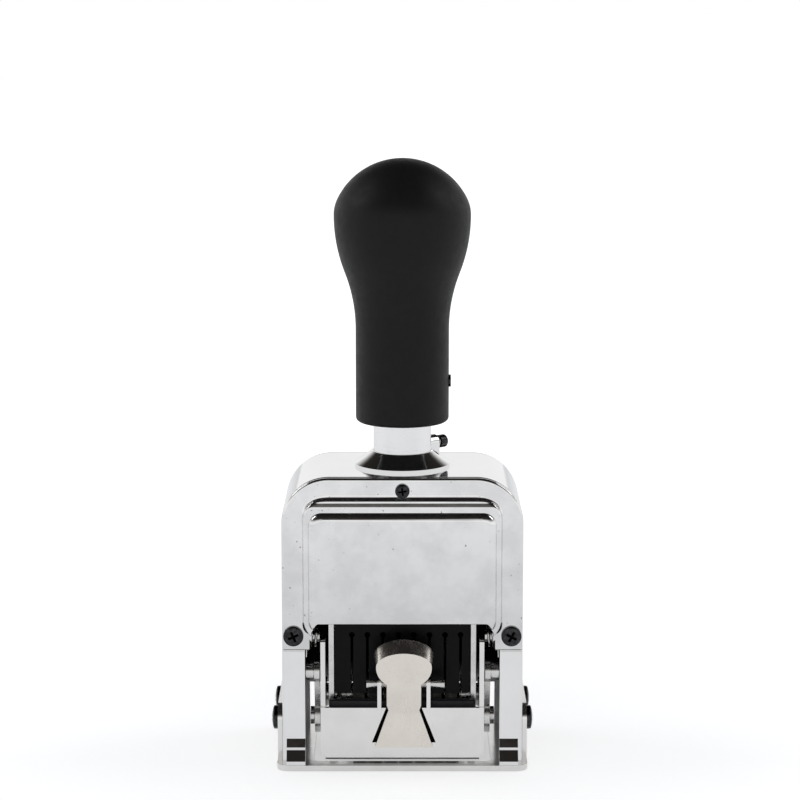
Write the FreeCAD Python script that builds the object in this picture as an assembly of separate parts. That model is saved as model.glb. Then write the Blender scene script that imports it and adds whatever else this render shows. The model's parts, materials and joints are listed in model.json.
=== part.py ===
"""Hand numbering machine, pressed down onto the paper.

Millimetres. +Z is up, +X is to the right seen from the front, and the front faces -Y.
The origin is in the middle of the base plate's lower face.
The plunger carries a cage with seven number wheels on one axle. The ink pad hangs on the
same axle in front of the wheels, and swings under them as the plunger rises.
"""
import FreeCAD
import Part
import math
import os

V = FreeCAD.Vector
AXIS_X = V(1, 0, 0)
AXIS_Y = V(0, 1, 0)
AXIS_Z = V(0, 0, 1)
FULL_TURN = 360
QUARTER_TURN = 90

# Fits and clearances
RUNNING_FIT = 0.05
SEAT_GAP = 0.3
SCREW_GAP = 0.2
OVERRUN = 5.0

# Number wheels; pressed down, their axle lies one wheel radius over the paper
WHEEL_COUNT = 7
WHEEL_PITCH = 4.0
WHEEL_RIM = 3.0
WHEEL_RADIUS = 14.5
WHEEL_SHIFT = 1.0
WHEEL_START = WHEEL_SHIFT - WHEEL_PITCH * WHEEL_COUNT / 2
AXLE_Z = WHEEL_RADIUS
AXLE_RADIUS = 3.0
FIGURES = 10
FIGURE_BLOCK = 1.2
WHEEL_ROOT = WHEEL_RADIUS - FIGURE_BLOCK
WHEEL_FLANGE = 1.7
WHEEL_RECESS_OUTER = WHEEL_ROOT - WHEEL_FLANGE
WHEEL_RECESS_INNER = 5.2
WHEEL_RECESS_DEPTH = 0.5
RATCHET_WIDTH = 0.7
RATCHET_INSET = 0.8
RATCHET_TOOTH = 1.4
RATCHET_RADIUS = WHEEL_RECESS_OUTER - RATCHET_INSET
RATCHET_ROOT = RATCHET_RADIUS - RATCHET_TOOTH
BLOCK_HALF_ANGLE = 12.4
BLOCK_ROOT_ANGLE = 14.2

# Feed arm and pawls behind the wheels
FEED_SHEET = 1.2
FEED_SIDE_GAP = 0.35
FEED_HUB = 5.0
FEED_BAR_INNER = WHEEL_RADIUS + SEAT_GAP
FEED_BAR_OUTER = FEED_BAR_INNER + FEED_SHEET
FEED_BAR_HEIGHT = 6.0
FEED_ANGLE = -24.0
PAWL_SHEET = 0.5
PAWL_TIP_GAP = 0.4
PAWL_TIP = RATCHET_RADIUS + PAWL_TIP_GAP
PAWL_HEIGHT = 3.4

# Cage that hangs on the plunger
CAGE_END_ROOM = 1.15
PLATE_INNER = (WHEEL_START + WHEEL_PITCH * WHEEL_COUNT + FEED_SIDE_GAP + FEED_SHEET
               + CAGE_END_ROOM)
PLATE_SHEET = 1.3
PLATE_LOW = 2.2
PLATE_FRONT_INSET = 0.6
PLATE_FRONT = WHEEL_RADIUS - PLATE_FRONT_INSET
PLATE_BACK = 13.0
PLATE_LOW_ROUND = 11.0
PLATE_TOP_ROUND = 3.0
TIE_ROD_RADIUS = 1.5
TIE_REAR_Y = 9.6
TIE_REAR_RISE = 16.1
TIE_FRONT_Y = -9.4
TIE_FRONT_RISE = 34.5
TIE_HEAD_RADIUS = 2.3
TIE_HEAD_HEIGHT = 0.6

# Repeat selector at the left end of the axle
SELECTOR_ROOM = 0.8
SELECTOR_X = SELECTOR_ROOM - PLATE_INNER
SELECTOR_SHEET = 0.9
SELECTOR_HUB = 6.5
SELECTOR_REACH = WHEEL_RADIUS - SEAT_GAP
SELECTOR_FINGER = 3.2
SELECTOR_ANGLE = 8.0
SPACER_RADIUS = 4.4

# Leaf comb that steadies the wheels
COMB_SHEET = 0.4
COMB_FACE = WHEEL_RADIUS + SEAT_GAP - COMB_SHEET
COMB_LOW = 19.0
COMB_HALF = PLATE_INNER - SEAT_GAP
COMB_SLOT = 0.7
COMB_SLOT_TOP = 34.5
COMB_EYE = 0.75
COMB_ROD_RADIUS = 1.2
COMB_ROD_Z = 44.0
COMB_ROD_MARGIN = 3.0
COMB_TOP = COMB_ROD_Z + COMB_ROD_MARGIN

# Tray with its felt pad, which slides up out of its frame
TRAY_SHEET = 0.7
TRAY_WALL = 0.5
TRAY_SIDE_GAP = 0.5
TRAY_LOW = 3.9
TRAY_TOP = 16.2
FELT_BACK = WHEEL_RADIUS + SEAT_GAP
FELT_SHEET = 2.3
FELT_MARGIN = 0.8
FELT_CORNER = 1.0
FELT_TOP = 17.9
TRAY_FACE = FELT_BACK + FELT_SHEET + TRAY_SHEET

# Ink pad frame, hung on the axle outside the cage plates
ARM_SHEET = 1.2
ARM_INNER = PLATE_INNER + PLATE_SHEET + TIE_HEAD_HEIGHT + SCREW_GAP
ARM_OUTER = ARM_INNER + ARM_SHEET
ARM_HUB = 4.6
ARM_HORN_TOP = 34.5
ARM_HORN_WIDTH = 3.6
HOLDER_WIDTH = ARM_OUTER * 2
HOLDER_SHEET = 1.0
HOLDER_FACE = TRAY_FACE + HOLDER_SHEET + SCREW_GAP
HOLDER_LOW = 2.5
HOLDER_TOP = 16.4
HOLDER_CORNER = 3.0
HOLDER_BEND = 1.4
HOLDER_LEDGE = 2.4
ARM_FRONT = HOLDER_FACE - HOLDER_SHEET + SCREW_GAP
HOLDER_PIN_Y = -8.2
HOLDER_PIN_DROP = 3.2
HOLDER_PIN_Z = AXLE_Z - HOLDER_PIN_DROP
HOLDER_PIN_RADIUS = 1.2
RIVET_HEAD = 2.3
RIVET_HEIGHT = 1.0
NOTCH_TOP_HALF = 4.6
NOTCH_LOW_HALF = 8.2
NOTCH_LOW = 7.2
TRAY_WIDTH = (ARM_INNER - TRAY_SIDE_GAP) * 2

# Thumb latch in front of the ink pad frame
LATCH_X = 0.4
LATCH_SHEET = 0.8
LATCH_TAIL_HALF = 7.0
LATCH_TAIL_LOW = 6.2
LATCH_WAIST_HALF = 3.5
LATCH_WAIST_Z = 16.2
LATCH_NECK_HALF = 4.4
LATCH_NECK_Z = 17.6
LATCH_NECK_TOP = 23.6
LATCH_HEAD_HALF = 7.1
LATCH_HEAD_Z = 28.2
LATCH_HEAD_RISE = 3.5
LATCH_BELLY_HALF = 6.5
LATCH_BELLY_Z = 25.6
LATCH_TAIL_FACE = HOLDER_FACE + SEAT_GAP + LATCH_SHEET
LATCH_LEAN = 2.3
LATCH_HEAD_FACE = LATCH_TAIL_FACE + LATCH_LEAN
LATCH_BEND_LOW = 15.0
LATCH_BEND_TOP = 22.0
LIP_RISE = 2.4
LIP_BACK = 2.6
LIP_HALF = 7.6
LIP_HEIGHT = 4.1
LIP_WALL = 0.5
LIP_LOW = 27.2
PIN_Z = 23.0
PIN_Y = -HOLDER_FACE - SEAT_GAP
PIN_RADIUS = 0.8
PIN_REACH_LEFT = 9.6
PIN_REACH_RIGHT = 10.4
PIN_GRIP = 1.25
PIN_GRIP_LEFT = 2.6
PIN_GRIP_RIGHT = 3.8
HOLDER_EAR_INNER = 5.8
HOLDER_EAR_SHEET = 1.0
HOLDER_EAR_HALF = 1.5
KNUCKLE_RADIUS = 1.5
KNUCKLE_HALF = 4.4

# Links from studs in the case to the ink pad frame
LINK_INNER = ARM_OUTER + SEAT_GAP
LINK_SHEET = 1.4
LINK_END = 2.7
LINK_EYE_PLAY = 2.0
LINK_EYE_WALL = 1.2
LINK_WIDTH = 3.4

# Plunger tube, its crosshead, and the return spring between the fixed bridge and the knob
STROKE = 18.0
TUBE_RADIUS = 7.5
TUBE_WALL = 1.3
TUBE_BORE = TUBE_RADIUS - TUBE_WALL
BRIDGE_LOW = 48.0
BRIDGE_HEIGHT = 3.2
BRIDGE_DEPTH = 6.4
BRIDGE_SLOT_GAP = 0.5
BRIDGE_PAD = 1.4
BRIDGE_REST = 0.6
SPRING_PLAY = 0.5
SPRING_SHEATH = 2.6
SPRING_OUTER = TUBE_BORE - SPRING_PLAY
SPRING_BORE = SPRING_OUTER - SPRING_SHEATH
GUIDE_RADIUS = SPRING_BORE - SPRING_PLAY
GUIDE_TOP = 84.0
CROSSHEAD_LOW = BRIDGE_LOW + BRIDGE_HEIGHT + BRIDGE_REST
CROSSHEAD_HEIGHT = 4.0
CROSSHEAD_WALL = 1.0
CROSSHEAD_DEPTH = (TUBE_RADIUS + CROSSHEAD_WALL) * 2

# Case: an arched frame with a lip for the covers, ending in four legs with feet
CASE_WALL = 1.6
CASE_SIDE_ROOM = 9.9
CASE_WIDTH = HOLDER_WIDTH + CASE_SIDE_ROOM * 2
CASE_HEADROOM = 1.0
CASE_TOP = CROSSHEAD_LOW + CROSSHEAD_HEIGHT + STROKE + CASE_HEADROOM + CASE_WALL
CASE_END_ROOM = 3.5
CASE_DEPTH = (WHEEL_RADIUS + CASE_END_ROOM) * 2
CASE_CORNER = 12.2
CASE_EDGE_ROUND = 1.1
CASE_RIM_ROUND = 0.8
LIP_WIDTH = 5.9
LIP_SHEET = 1.4
FRONT_LEG_TOP = 31.0
REAR_LEG_TOP = 12.8
LEG_FLANGE = 1.4
FOOT_TOP = 7.9
FOOT_STEP_TOP = 5.7
FOOT_STEP_LOW = 5.1
FOOT_STEP_REACH = 1.1
FOOT_STEP_SET = 0.2
FOOT_REACH = 2.4
FOOT_LIP = 0.9
FOOT_ROUND = 0.4

# Base plate, bent up at both sides
BASE_SHEET = 1.5
EAR_SHEET = 1.2
EAR_TOP = 15.2
EAR_LENGTH = 28.0
EAR_ROUND = 4.0
BASE_WIDTH = CASE_WIDTH + (EAR_SHEET + SCREW_GAP) * 2
BASE_DEPTH = CASE_DEPTH + (FOOT_REACH + SEAT_GAP) * 2
BASE_CORNER = 3.0
BASE_WINDOW_SIDE = 2.0
BASE_WINDOW_WIDTH = HOLDER_WIDTH + BASE_WINDOW_SIDE * 2
BASE_WINDOW_FRONT = 16.8
BASE_WINDOW_BACK = 15.2
BASE_WINDOW_ROUND = 2.0
SIDE_SCREW_Z = 11.0
SIDE_SCREW_SPREAD = 9.0

# Pressed sheet covers
COVER_SHEET = 1.0
COVER_INSET = 0.1
COVER_SEAM = 0.3
COVER_EDGE_ROUND = 0.7
CASE_FACE = CASE_DEPTH / 2 - COVER_SHEET
PANEL_BORDER = 5.6
PANEL_WIDTH = CASE_WIDTH - PANEL_BORDER * 2
PANEL_TOP = CASE_TOP - PANEL_BORDER
PANEL_LOW = 34.5
PANEL_RAISE = 2.9
PANEL_STEP_RAISE = 1.5
PANEL_STEP_SIDE = 1.1
PANEL_STEP_TOP = 2.9
PANEL_CORNER = 4.8
PANEL_ROLL = 2.4
PANEL_STEP_ROLL = 0.7
PANEL_FOOT_ROLL = 0.7
WINDOW_TOP = 38.9
WINDOW_MARGIN = 0.7
WINDOW_FLARE = 1.6
WINDOW_HALF_TOP = HOLDER_WIDTH / 2 + WINDOW_MARGIN
WINDOW_HALF_LOW = WINDOW_HALF_TOP + WINDOW_FLARE
WINDOW_SHOULDER = 36.4
WINDOW_ROUND = 0.8
BROW_ROUND = 0.4
REAR_PANEL_LOW = 20.0
REAR_EDGE_LOW = 13.0

# Screws
COVER_SCREW_EDGE = 3.0
COVER_SCREW_X = CASE_WIDTH / 2 - COVER_SCREW_EDGE
COVER_SCREW_Z = 35.2
TOP_SCREW_DROP = 3.3
TOP_SCREW_Z = CASE_TOP - TOP_SCREW_DROP
COVER_SCREW_HEAD = 2.6
TOP_SCREW_HEAD = 1.85
COVER_SCREW_HEIGHT = 1.3
COVER_SCREW_TURNS = (8, 24, 62)
SCREW_SHANK = 1.0
SCREW_LENGTH = 3.2
SIDE_SCREW_HEAD = 3.1
SIDE_SCREW_HEIGHT = 1.7
SIDE_SCREW_SHANK = 1.5
SIDE_SCREW_LENGTH = 4.0
HEAD_DOME_SHARE = 0.3
HEAD_RIM_SHARE = 0.28
RECESS_WIDTH_SHARE = 0.26
RECESS_LENGTH_SHARE = 0.56
RECESS_DEPTH_SHARE = 0.6

# Collar on top of the case, with the lock button behind it
COLLAR_FLANGE = 4.9
COLLAR_RADIUS = TUBE_RADIUS + COLLAR_FLANGE
COLLAR_BAND = 0.7
COLLAR_HEIGHT = 4.0
COLLAR_TOP = CASE_TOP + COLLAR_HEIGHT
COLLAR_LIP = 0.5
COLLAR_TOP_RADIUS = TUBE_RADIUS + COLLAR_LIP
COLLAR_COVE_SHARE = 0.03
LOCK_TURN = 42.0
LOCK_BOSS_RADIUS = 2.2
LOCK_BOSS_LENGTH = 3.7
LOCK_BOSS_END = TUBE_RADIUS + LOCK_BOSS_LENGTH
LOCK_RISE = 4.5
LOCK_Z = CASE_TOP + LOCK_RISE
LOCK_HEAD_RADIUS = 1.7
LOCK_HEAD_WALL = 0.35
LOCK_HEAD_LENGTH = 2.3
LOCK_PIN_RADIUS = 0.8
LOCK_TRAVEL = 1.4
LOCK_HEAD_END = LOCK_BOSS_END + LOCK_TRAVEL + LOCK_HEAD_LENGTH
LOCK_WIRE = 0.35

# Hand knob on the plunger tube
KNOB_RISE = 11.6
KNOB_LOW = CASE_TOP + KNOB_RISE
KNOB_WALL = 4.55
KNOB_RADIUS = TUBE_RADIUS + KNOB_WALL
KNOB_NECK = 24.0
KNOB_SWELL = 5.55
KNOB_BULB_RADIUS = KNOB_RADIUS + KNOB_SWELL
KNOB_BULB = 53.5
KNOB_SHOULDER = 9.5
KNOB_LENGTH = 68.0
KNOB_EDGE = 1.2
KNOB_SOCKET = 30.0
KNOB_SCREW_RISE = 10.5
KNOB_SCREW_Z = KNOB_LOW + KNOB_SCREW_RISE
KNOB_SCREW_RADIUS = 1.6
KNOB_SCREW_PROUD = 0.5

# Studs in the case walls, for the links and for the torsion springs above them
STUD_INSET = 3.2
STUD_Y = STUD_INSET - CASE_DEPTH / 2
STUD_Z = 25.0
STUD_RADIUS = 1.4
STUD_SHOULDER = 2.2
COIL_STUD_Z = 33.6
COIL_STUD_INSET = 6.4
COIL_STUD_Y = COIL_STUD_INSET - CASE_DEPTH / 2
COIL_STUD_RADIUS = 1.5
COIL_RADIUS = 2.55
COIL_WIRE = 0.7
COIL_PITCH = 1.15
COIL_TURNS = 2.25
COIL_SIDE_GAP = 0.7
COIL_START = LINK_INNER + COIL_SIDE_GAP
COIL_LEG = 5.0
COIL_ARCS = 4
COIL_CHECKS = 400


def place(plane, u, v, level):
    """A point of a flat outline: plane names its two axes, level is the third."""
    if plane == "XZ":
        return V(u, level, v)
    if plane == "YZ":
        return V(level, u, v)
    return V(u, v, level)


def normal(plane, length):
    """The vector that an outline in this plane is pushed along."""
    return {"XZ": V(0, length, 0), "YZ": V(length, 0, 0), "XY": V(0, 0, length)}[plane]


def outline(plane, corners, level):
    """A closed face from corners (u, v) or (u, v, radius)."""
    count = len(corners)
    starts, ends, mids = [], [], []
    for i in range(count):
        here = V(corners[i][0], corners[i][1], 0)
        radius = corners[i][2] if len(corners[i]) > 2 else 0
        before = V(corners[i - 1][0], corners[i - 1][1], 0) - here
        after = V(corners[(i + 1) % count][0], corners[(i + 1) % count][1], 0) - here
        if radius <= 0:
            starts.append(here)
            ends.append(here)
            mids.append(None)
            continue
        before.normalize()
        after.normalize()
        half = before.getAngle(after) / 2
        back = radius / math.tan(half)
        inward = (before + after).normalize()
        centre = here + inward * (radius / math.sin(half))
        starts.append(here + before * back)
        ends.append(here + after * back)
        mids.append(centre - inward * radius)
    edges = []
    for i in range(count):
        if mids[i] is not None:
            arc = [place(plane, p.x, p.y, level) for p in (starts[i], mids[i], ends[i])]
            edges.append(Part.Arc(*arc).toShape())
        follow = starts[(i + 1) % count]
        if (follow - ends[i]).Length > Part.Precision.confusion():
            line = [place(plane, p.x, p.y, level) for p in (ends[i], follow)]
            edges.append(Part.LineSegment(*line).toShape())
    return Part.Face(Part.Wire(edges))


def slab(plane, corners, low, high):
    """An outline pushed from level low to level high."""
    return outline(plane, corners, low).extrude(normal(plane, high - low))


def box(x, y, z):
    """A block between pairs of limits."""
    return Part.makeBox(x[1] - x[0], y[1] - y[0], z[1] - z[0], V(x[0], y[0], z[0]))


def rod(axis, radius, low, high, u, v):
    """A round bar along X, Y or Z from low to high, at u, v on the other two axes."""
    if axis == "X":
        return Part.makeCylinder(radius, high - low, V(low, u, v), AXIS_X)
    if axis == "Y":
        return Part.makeCylinder(radius, high - low, V(u, low, v), AXIS_Y)
    return Part.makeCylinder(radius, high - low, V(u, v, low), AXIS_Z)


def mirrored(shape, across):
    """The same piece on the other side of the middle plane."""
    return shape.mirror(V(0, 0, 0), across)


def edges_where(shape, test):
    """The edges whose bounding box passes a test."""
    return [edge for edge in shape.Edges if test(edge.BoundBox)]


def fused(pieces):
    """One solid from overlapping pieces."""
    return pieces[0].multiFuse(pieces[1:]).removeSplitter() if len(pieces) > 1 else pieces[0]


def arch(inset, low, front, back):
    """The case's arched section, taken in by an inset, from low up to the top."""
    half = CASE_WIDTH / 2 - inset
    top = CASE_TOP - inset
    corner = CASE_CORNER - inset
    corners = [(-half, low), (-half, top, corner), (half, top, corner), (half, low)]
    return slab("XZ", corners, front, back)


def foot(side, front):
    """A leg's cast foot: two sloping tiers that step out over the base plate."""
    inner = CASE_WIDTH / 2 - LIP_WIDTH
    outer = CASE_WIDTH / 2 - CASE_EDGE_ROUND
    face = CASE_DEPTH / 2
    knee = face + FOOT_STEP_REACH
    shelf = knee - FOOT_STEP_SET
    toe = face + FOOT_REACH
    root = face - LEG_FLANGE / 2
    upper = [(-root, FOOT_TOP), (-face, FOOT_TOP), (-knee, FOOT_STEP_TOP, FOOT_ROUND),
             (-shelf, FOOT_STEP_LOW), (-root, FOOT_STEP_LOW)]
    lower = [(-root, FOOT_STEP_LOW), (-shelf, FOOT_STEP_LOW),
             (-toe, BASE_SHEET + FOOT_LIP, FOOT_ROUND), (-toe, BASE_SHEET), (-root, BASE_SHEET)]
    block = fused([slab("YZ", upper, inner, outer), slab("YZ", lower, inner, outer)])
    if side < 0:
        block = mirrored(block, AXIS_X)
    return block if front else mirrored(block, AXIS_Y)


def rounded_arch(face, radius):
    """The case's full section between two faces, its outer rims rounded."""
    block = arch(0, BASE_SHEET, -face, face)
    rims = edges_where(block, lambda b: b.YLength < RUNNING_FIT
                       and b.ZMax > BASE_SHEET + RUNNING_FIT)
    return block.makeFillet(radius, rims)


def case_frame():
    """Arched frame with its cover lips, legs and feet in one casting."""
    back = CASE_DEPTH / 2
    half = CASE_WIDTH / 2
    shell = rounded_arch(CASE_FACE, CASE_RIM_ROUND)
    shell = shell.cut(arch(CASE_WALL, -OVERRUN, -back - OVERRUN, back + OVERRUN))
    block = rounded_arch(back, CASE_EDGE_ROUND)
    pieces = [shell]
    for facing, leg_top in ((-1, FRONT_LEG_TOP), (1, REAR_LEG_TOP)):
        limits = sorted((facing * CASE_FACE, facing * (CASE_FACE - LIP_SHEET)))
        lip = arch(CASE_RIM_ROUND + RUNNING_FIT, leg_top - LEG_FLANGE, *limits)
        hole = arch(LIP_WIDTH, -OVERRUN, limits[0] - OVERRUN, limits[1] + OVERRUN)
        pieces.append(lip.cut(hole))
        flange = sorted((facing * back, facing * (back - LEG_FLANGE)))
        rim = sorted((facing * back, facing * (CASE_FACE - CASE_EDGE_ROUND)))
        for side in (-1, 1):
            front = box(sorted((side * half, side * (half - LIP_WIDTH))), flange,
                        (BASE_SHEET, leg_top))
            wall = box(sorted((side * half, side * (half - CASE_WALL))), rim,
                       (BASE_SHEET, leg_top))
            pieces.append(block.common(front.fuse(wall)))
            pieces.append(foot(side, facing < 0))
    frame = fused(pieces)
    cuts = [rod("Z", TUBE_RADIUS + SCREW_GAP, CASE_TOP - OVERRUN, CASE_TOP + OVERRUN, 0, 0)]
    reach = back + OVERRUN
    for x, z in cover_screw_places():
        cuts.append(rod("Y", SCREW_SHANK + SCREW_GAP, -reach, reach, x, z))
    for y in (-SIDE_SCREW_SPREAD, SIDE_SCREW_SPREAD):
        hole = SIDE_SCREW_SHANK + SCREW_GAP
        cuts.append(rod("X", hole, -half - OVERRUN, half + OVERRUN, y, SIDE_SCREW_Z))
    return frame.cut(cuts)


def cover_screw_places():
    """Where the cover screws go: one at the top, one at each side."""
    return [(0, TOP_SCREW_Z), (-COVER_SCREW_X, COVER_SCREW_Z), (COVER_SCREW_X, COVER_SCREW_Z)]


def cover_screw_heads():
    """The radius of each cover screw's head, in the order of their places."""
    return [TOP_SCREW_HEAD, COVER_SCREW_HEAD, COVER_SCREW_HEAD]


def rolled(plate, radius):
    """A plate with the edges of its foremost face rounded."""
    front = plate.BoundBox.YMin
    return plate.makeFillet(radius, edges_where(plate, lambda b: b.YMax < front + RUNNING_FIT))


def panel(low, side, top, raise_out):
    """A rounded plate for the raised field, taken in at the sides and at the top."""
    half = PANEL_WIDTH / 2 - side
    corner = PANEL_CORNER - side
    face = CASE_DEPTH / 2
    corners = [(-half, low + side, corner), (-half, PANEL_TOP - top, corner),
               (half, PANEL_TOP - top, corner), (half, low + side, corner)]
    return slab("XZ", corners, -face - raise_out, -face + COVER_SHEET)


def raised_field(low):
    """The field that is pressed out in two steps, with rolled crowns and feet."""
    face = CASE_DEPTH / 2
    border = PANEL_FOOT_ROLL + COVER_SHEET
    base = panel(low, -border, -border, 0)
    step = rolled(panel(low, 0, 0, PANEL_STEP_RAISE), PANEL_STEP_ROLL)
    top = rolled(panel(low, PANEL_STEP_SIDE, PANEL_STEP_TOP, PANEL_RAISE), PANEL_ROLL)
    whole = fused([base, step, top])
    half = PANEL_WIDTH / 2 + RUNNING_FIT
    crest = PANEL_TOP + RUNNING_FIT
    feet = edges_where(whole, lambda b: abs(b.YMin + face) < RUNNING_FIT
                       and abs(b.YMax + face) < RUNNING_FIT
                       and b.XMax < half and b.XMin > -half and b.ZMax < crest)
    return whole.makeFillet(PANEL_FOOT_ROLL, feet)


def field_hollow(low):
    """The room behind the raised field, one sheet inside it."""
    step = panel(low, COVER_SHEET, COVER_SHEET, PANEL_STEP_RAISE - COVER_SHEET)
    top = panel(low, PANEL_STEP_SIDE + COVER_SHEET, PANEL_STEP_TOP + COVER_SHEET,
                PANEL_RAISE - COVER_SHEET)
    return step.fuse(rolled(top, PANEL_ROLL - COVER_SHEET))


def cover(lower, panel_low):
    """A pressed cover in front orientation: lower lists the corners of its lower edge."""
    half = CASE_WIDTH / 2 - COVER_INSET
    top = CASE_TOP - COVER_INSET
    corner = CASE_CORNER - COVER_INSET
    face = CASE_DEPTH / 2
    contour = [(-half, top, corner), (half, top, corner)] + lower(half)
    sheet = rolled(slab("XZ", contour, -face, -face + COVER_SHEET), COVER_EDGE_ROUND)
    within = slab("XZ", contour, -face - PANEL_RAISE - OVERRUN, -face + OVERRUN)
    skin = sheet.fuse(raised_field(panel_low).common(within))
    holes = [rod("Y", SCREW_SHANK + SCREW_GAP, -face - OVERRUN, -face + OVERRUN, x, z)
             for x, z in cover_screw_places()]
    seats = [rod("Y", head + SCREW_GAP, -face - OVERRUN, -face, x, z)
             for (x, z), head in zip(cover_screw_places(), cover_screw_heads())]
    return skin.cut([field_hollow(panel_low)] + holes + seats).removeSplitter()


def front_cover():
    """Front cover with the window for the wheels and the ink pad."""
    low = FRONT_LEG_TOP + COVER_SEAM

    def lower(half):
        return [(half, low), (WINDOW_HALF_LOW, low, WINDOW_ROUND),
                (WINDOW_HALF_LOW, WINDOW_SHOULDER, WINDOW_ROUND),
                (WINDOW_HALF_TOP, WINDOW_TOP, WINDOW_ROUND),
                (-WINDOW_HALF_TOP, WINDOW_TOP, WINDOW_ROUND),
                (-WINDOW_HALF_LOW, WINDOW_SHOULDER, WINDOW_ROUND),
                (-WINDOW_HALF_LOW, low, WINDOW_ROUND), (-half, low)]

    sheet = cover(lower, PANEL_LOW)
    crown = -CASE_DEPTH / 2 - PANEL_RAISE
    brow = edges_where(sheet, lambda b: b.YMax < crown + RUNNING_FIT
                       and b.ZMax < WINDOW_TOP + RUNNING_FIT and b.ZLength < RUNNING_FIT)
    return sheet.makeFillet(BROW_ROUND, brow)


def rear_cover():
    """Rear cover, closed down to the rear feet."""
    def lower(half):
        return [(half, REAR_EDGE_LOW), (-half, REAR_EDGE_LOW)]

    return mirrored(cover(lower, REAR_PANEL_LOW), AXIS_Y)


def base_plate():
    """Base plate with a window for the print and an ear bent up at each side."""
    half = BASE_WIDTH / 2
    deep = BASE_DEPTH / 2
    corners = [(-half, -deep, BASE_CORNER), (half, -deep, BASE_CORNER),
               (half, deep, BASE_CORNER), (-half, deep, BASE_CORNER)]
    plate = slab("XY", corners, 0, BASE_SHEET)
    wide = BASE_WINDOW_WIDTH / 2
    hole = [(-wide, -BASE_WINDOW_FRONT, BASE_WINDOW_ROUND),
            (wide, -BASE_WINDOW_FRONT, BASE_WINDOW_ROUND),
            (wide, BASE_WINDOW_BACK, BASE_WINDOW_ROUND),
            (-wide, BASE_WINDOW_BACK, BASE_WINDOW_ROUND)]
    plate = plate.cut(slab("XY", hole, -OVERRUN, BASE_SHEET + OVERRUN))
    ears = []
    for side in (-1, 1):
        span = sorted((side * half, side * (half - EAR_SHEET)))
        long = EAR_LENGTH / 2
        shape = [(-long, BASE_SHEET / 2), (long, BASE_SHEET / 2),
                 (long, EAR_TOP, EAR_ROUND), (-long, EAR_TOP, EAR_ROUND)]
        ears.append(slab("YZ", shape, *span))
    plate = fused([plate] + ears)
    holes = [rod("X", SIDE_SCREW_SHANK + SCREW_GAP, -half - OVERRUN, half + OVERRUN, y,
                 SIDE_SCREW_Z) for y in (-SIDE_SCREW_SPREAD, SIDE_SCREW_SPREAD)]
    return plate.cut(holes)


def screw(head, height, shank, length):
    """A domed screw with a cross recess; its head's seat is at 0 and it points up."""
    dome = height * HEAD_DOME_SHARE
    wall = height - dome
    rise = [V(head, 0, 0), V(head, 0, wall), V(0, 0, height)]
    bulge = (head * head + dome * dome) / (2 * dome)
    middle = V(head / 2, 0, height - bulge + math.sqrt(bulge * bulge - head * head / 4))
    edges = [Part.LineSegment(V(0, 0, 0), rise[0]).toShape(),
             Part.LineSegment(rise[0], rise[1]).toShape(),
             Part.Arc(rise[1], middle, rise[2]).toShape(),
             Part.LineSegment(rise[2], V(0, 0, 0)).toShape()]
    cap = Part.Face(Part.Wire(edges)).revolve(V(0, 0, 0), AXIS_Z, FULL_TURN)
    rim = edges_where(cap, lambda b: b.ZMin > wall / 2 and b.ZLength < RUNNING_FIT)
    cap = cap.makeFillet(height * HEAD_RIM_SHARE, rim)
    wide = head * RECESS_WIDTH_SHARE / 2
    far = head * RECESS_LENGTH_SHARE
    sink = height * (1 - RECESS_DEPTH_SHARE)
    above = (sink, height + OVERRUN)
    cross = box((-far, far), (-wide, wide), above).fuse(box((-wide, wide), (-far, far), above))
    return cap.cut(cross).fuse(rod("Z", shank, -length, 0, 0, 0))


def turned(shape, axis, angle, move):
    """A piece turned about an axis through the origin, then moved."""
    shape.rotate(V(0, 0, 0), axis, angle)
    shape.translate(move)
    return shape


def cover_screws(facing):
    """The cover's top screw and its two larger side screws."""
    seat = CASE_DEPTH / 2
    pieces = []
    for (x, z), head, turn in zip(cover_screw_places(), cover_screw_heads(),
                                  COVER_SCREW_TURNS):
        piece = screw(head, COVER_SCREW_HEIGHT, SCREW_SHANK, SCREW_LENGTH)
        piece.rotate(V(0, 0, 0), AXIS_Z, turn)
        pieces.append(turned(piece, AXIS_X, -facing * QUARTER_TURN, V(x, facing * seat, z)))
    return Part.makeCompound(pieces)


def side_screws():
    """Screws that hold the base plate's ears to the case."""
    pieces = []
    for side in (-1, 1):
        for y in (-SIDE_SCREW_SPREAD, SIDE_SCREW_SPREAD):
            piece = screw(SIDE_SCREW_HEAD, SIDE_SCREW_HEIGHT, SIDE_SCREW_SHANK,
                          SIDE_SCREW_LENGTH)
            move = V(side * BASE_WIDTH / 2, y, SIDE_SCREW_Z)
            pieces.append(turned(piece, AXIS_Y, side * QUARTER_TURN, move))
    return Part.makeCompound(pieces)


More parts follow.
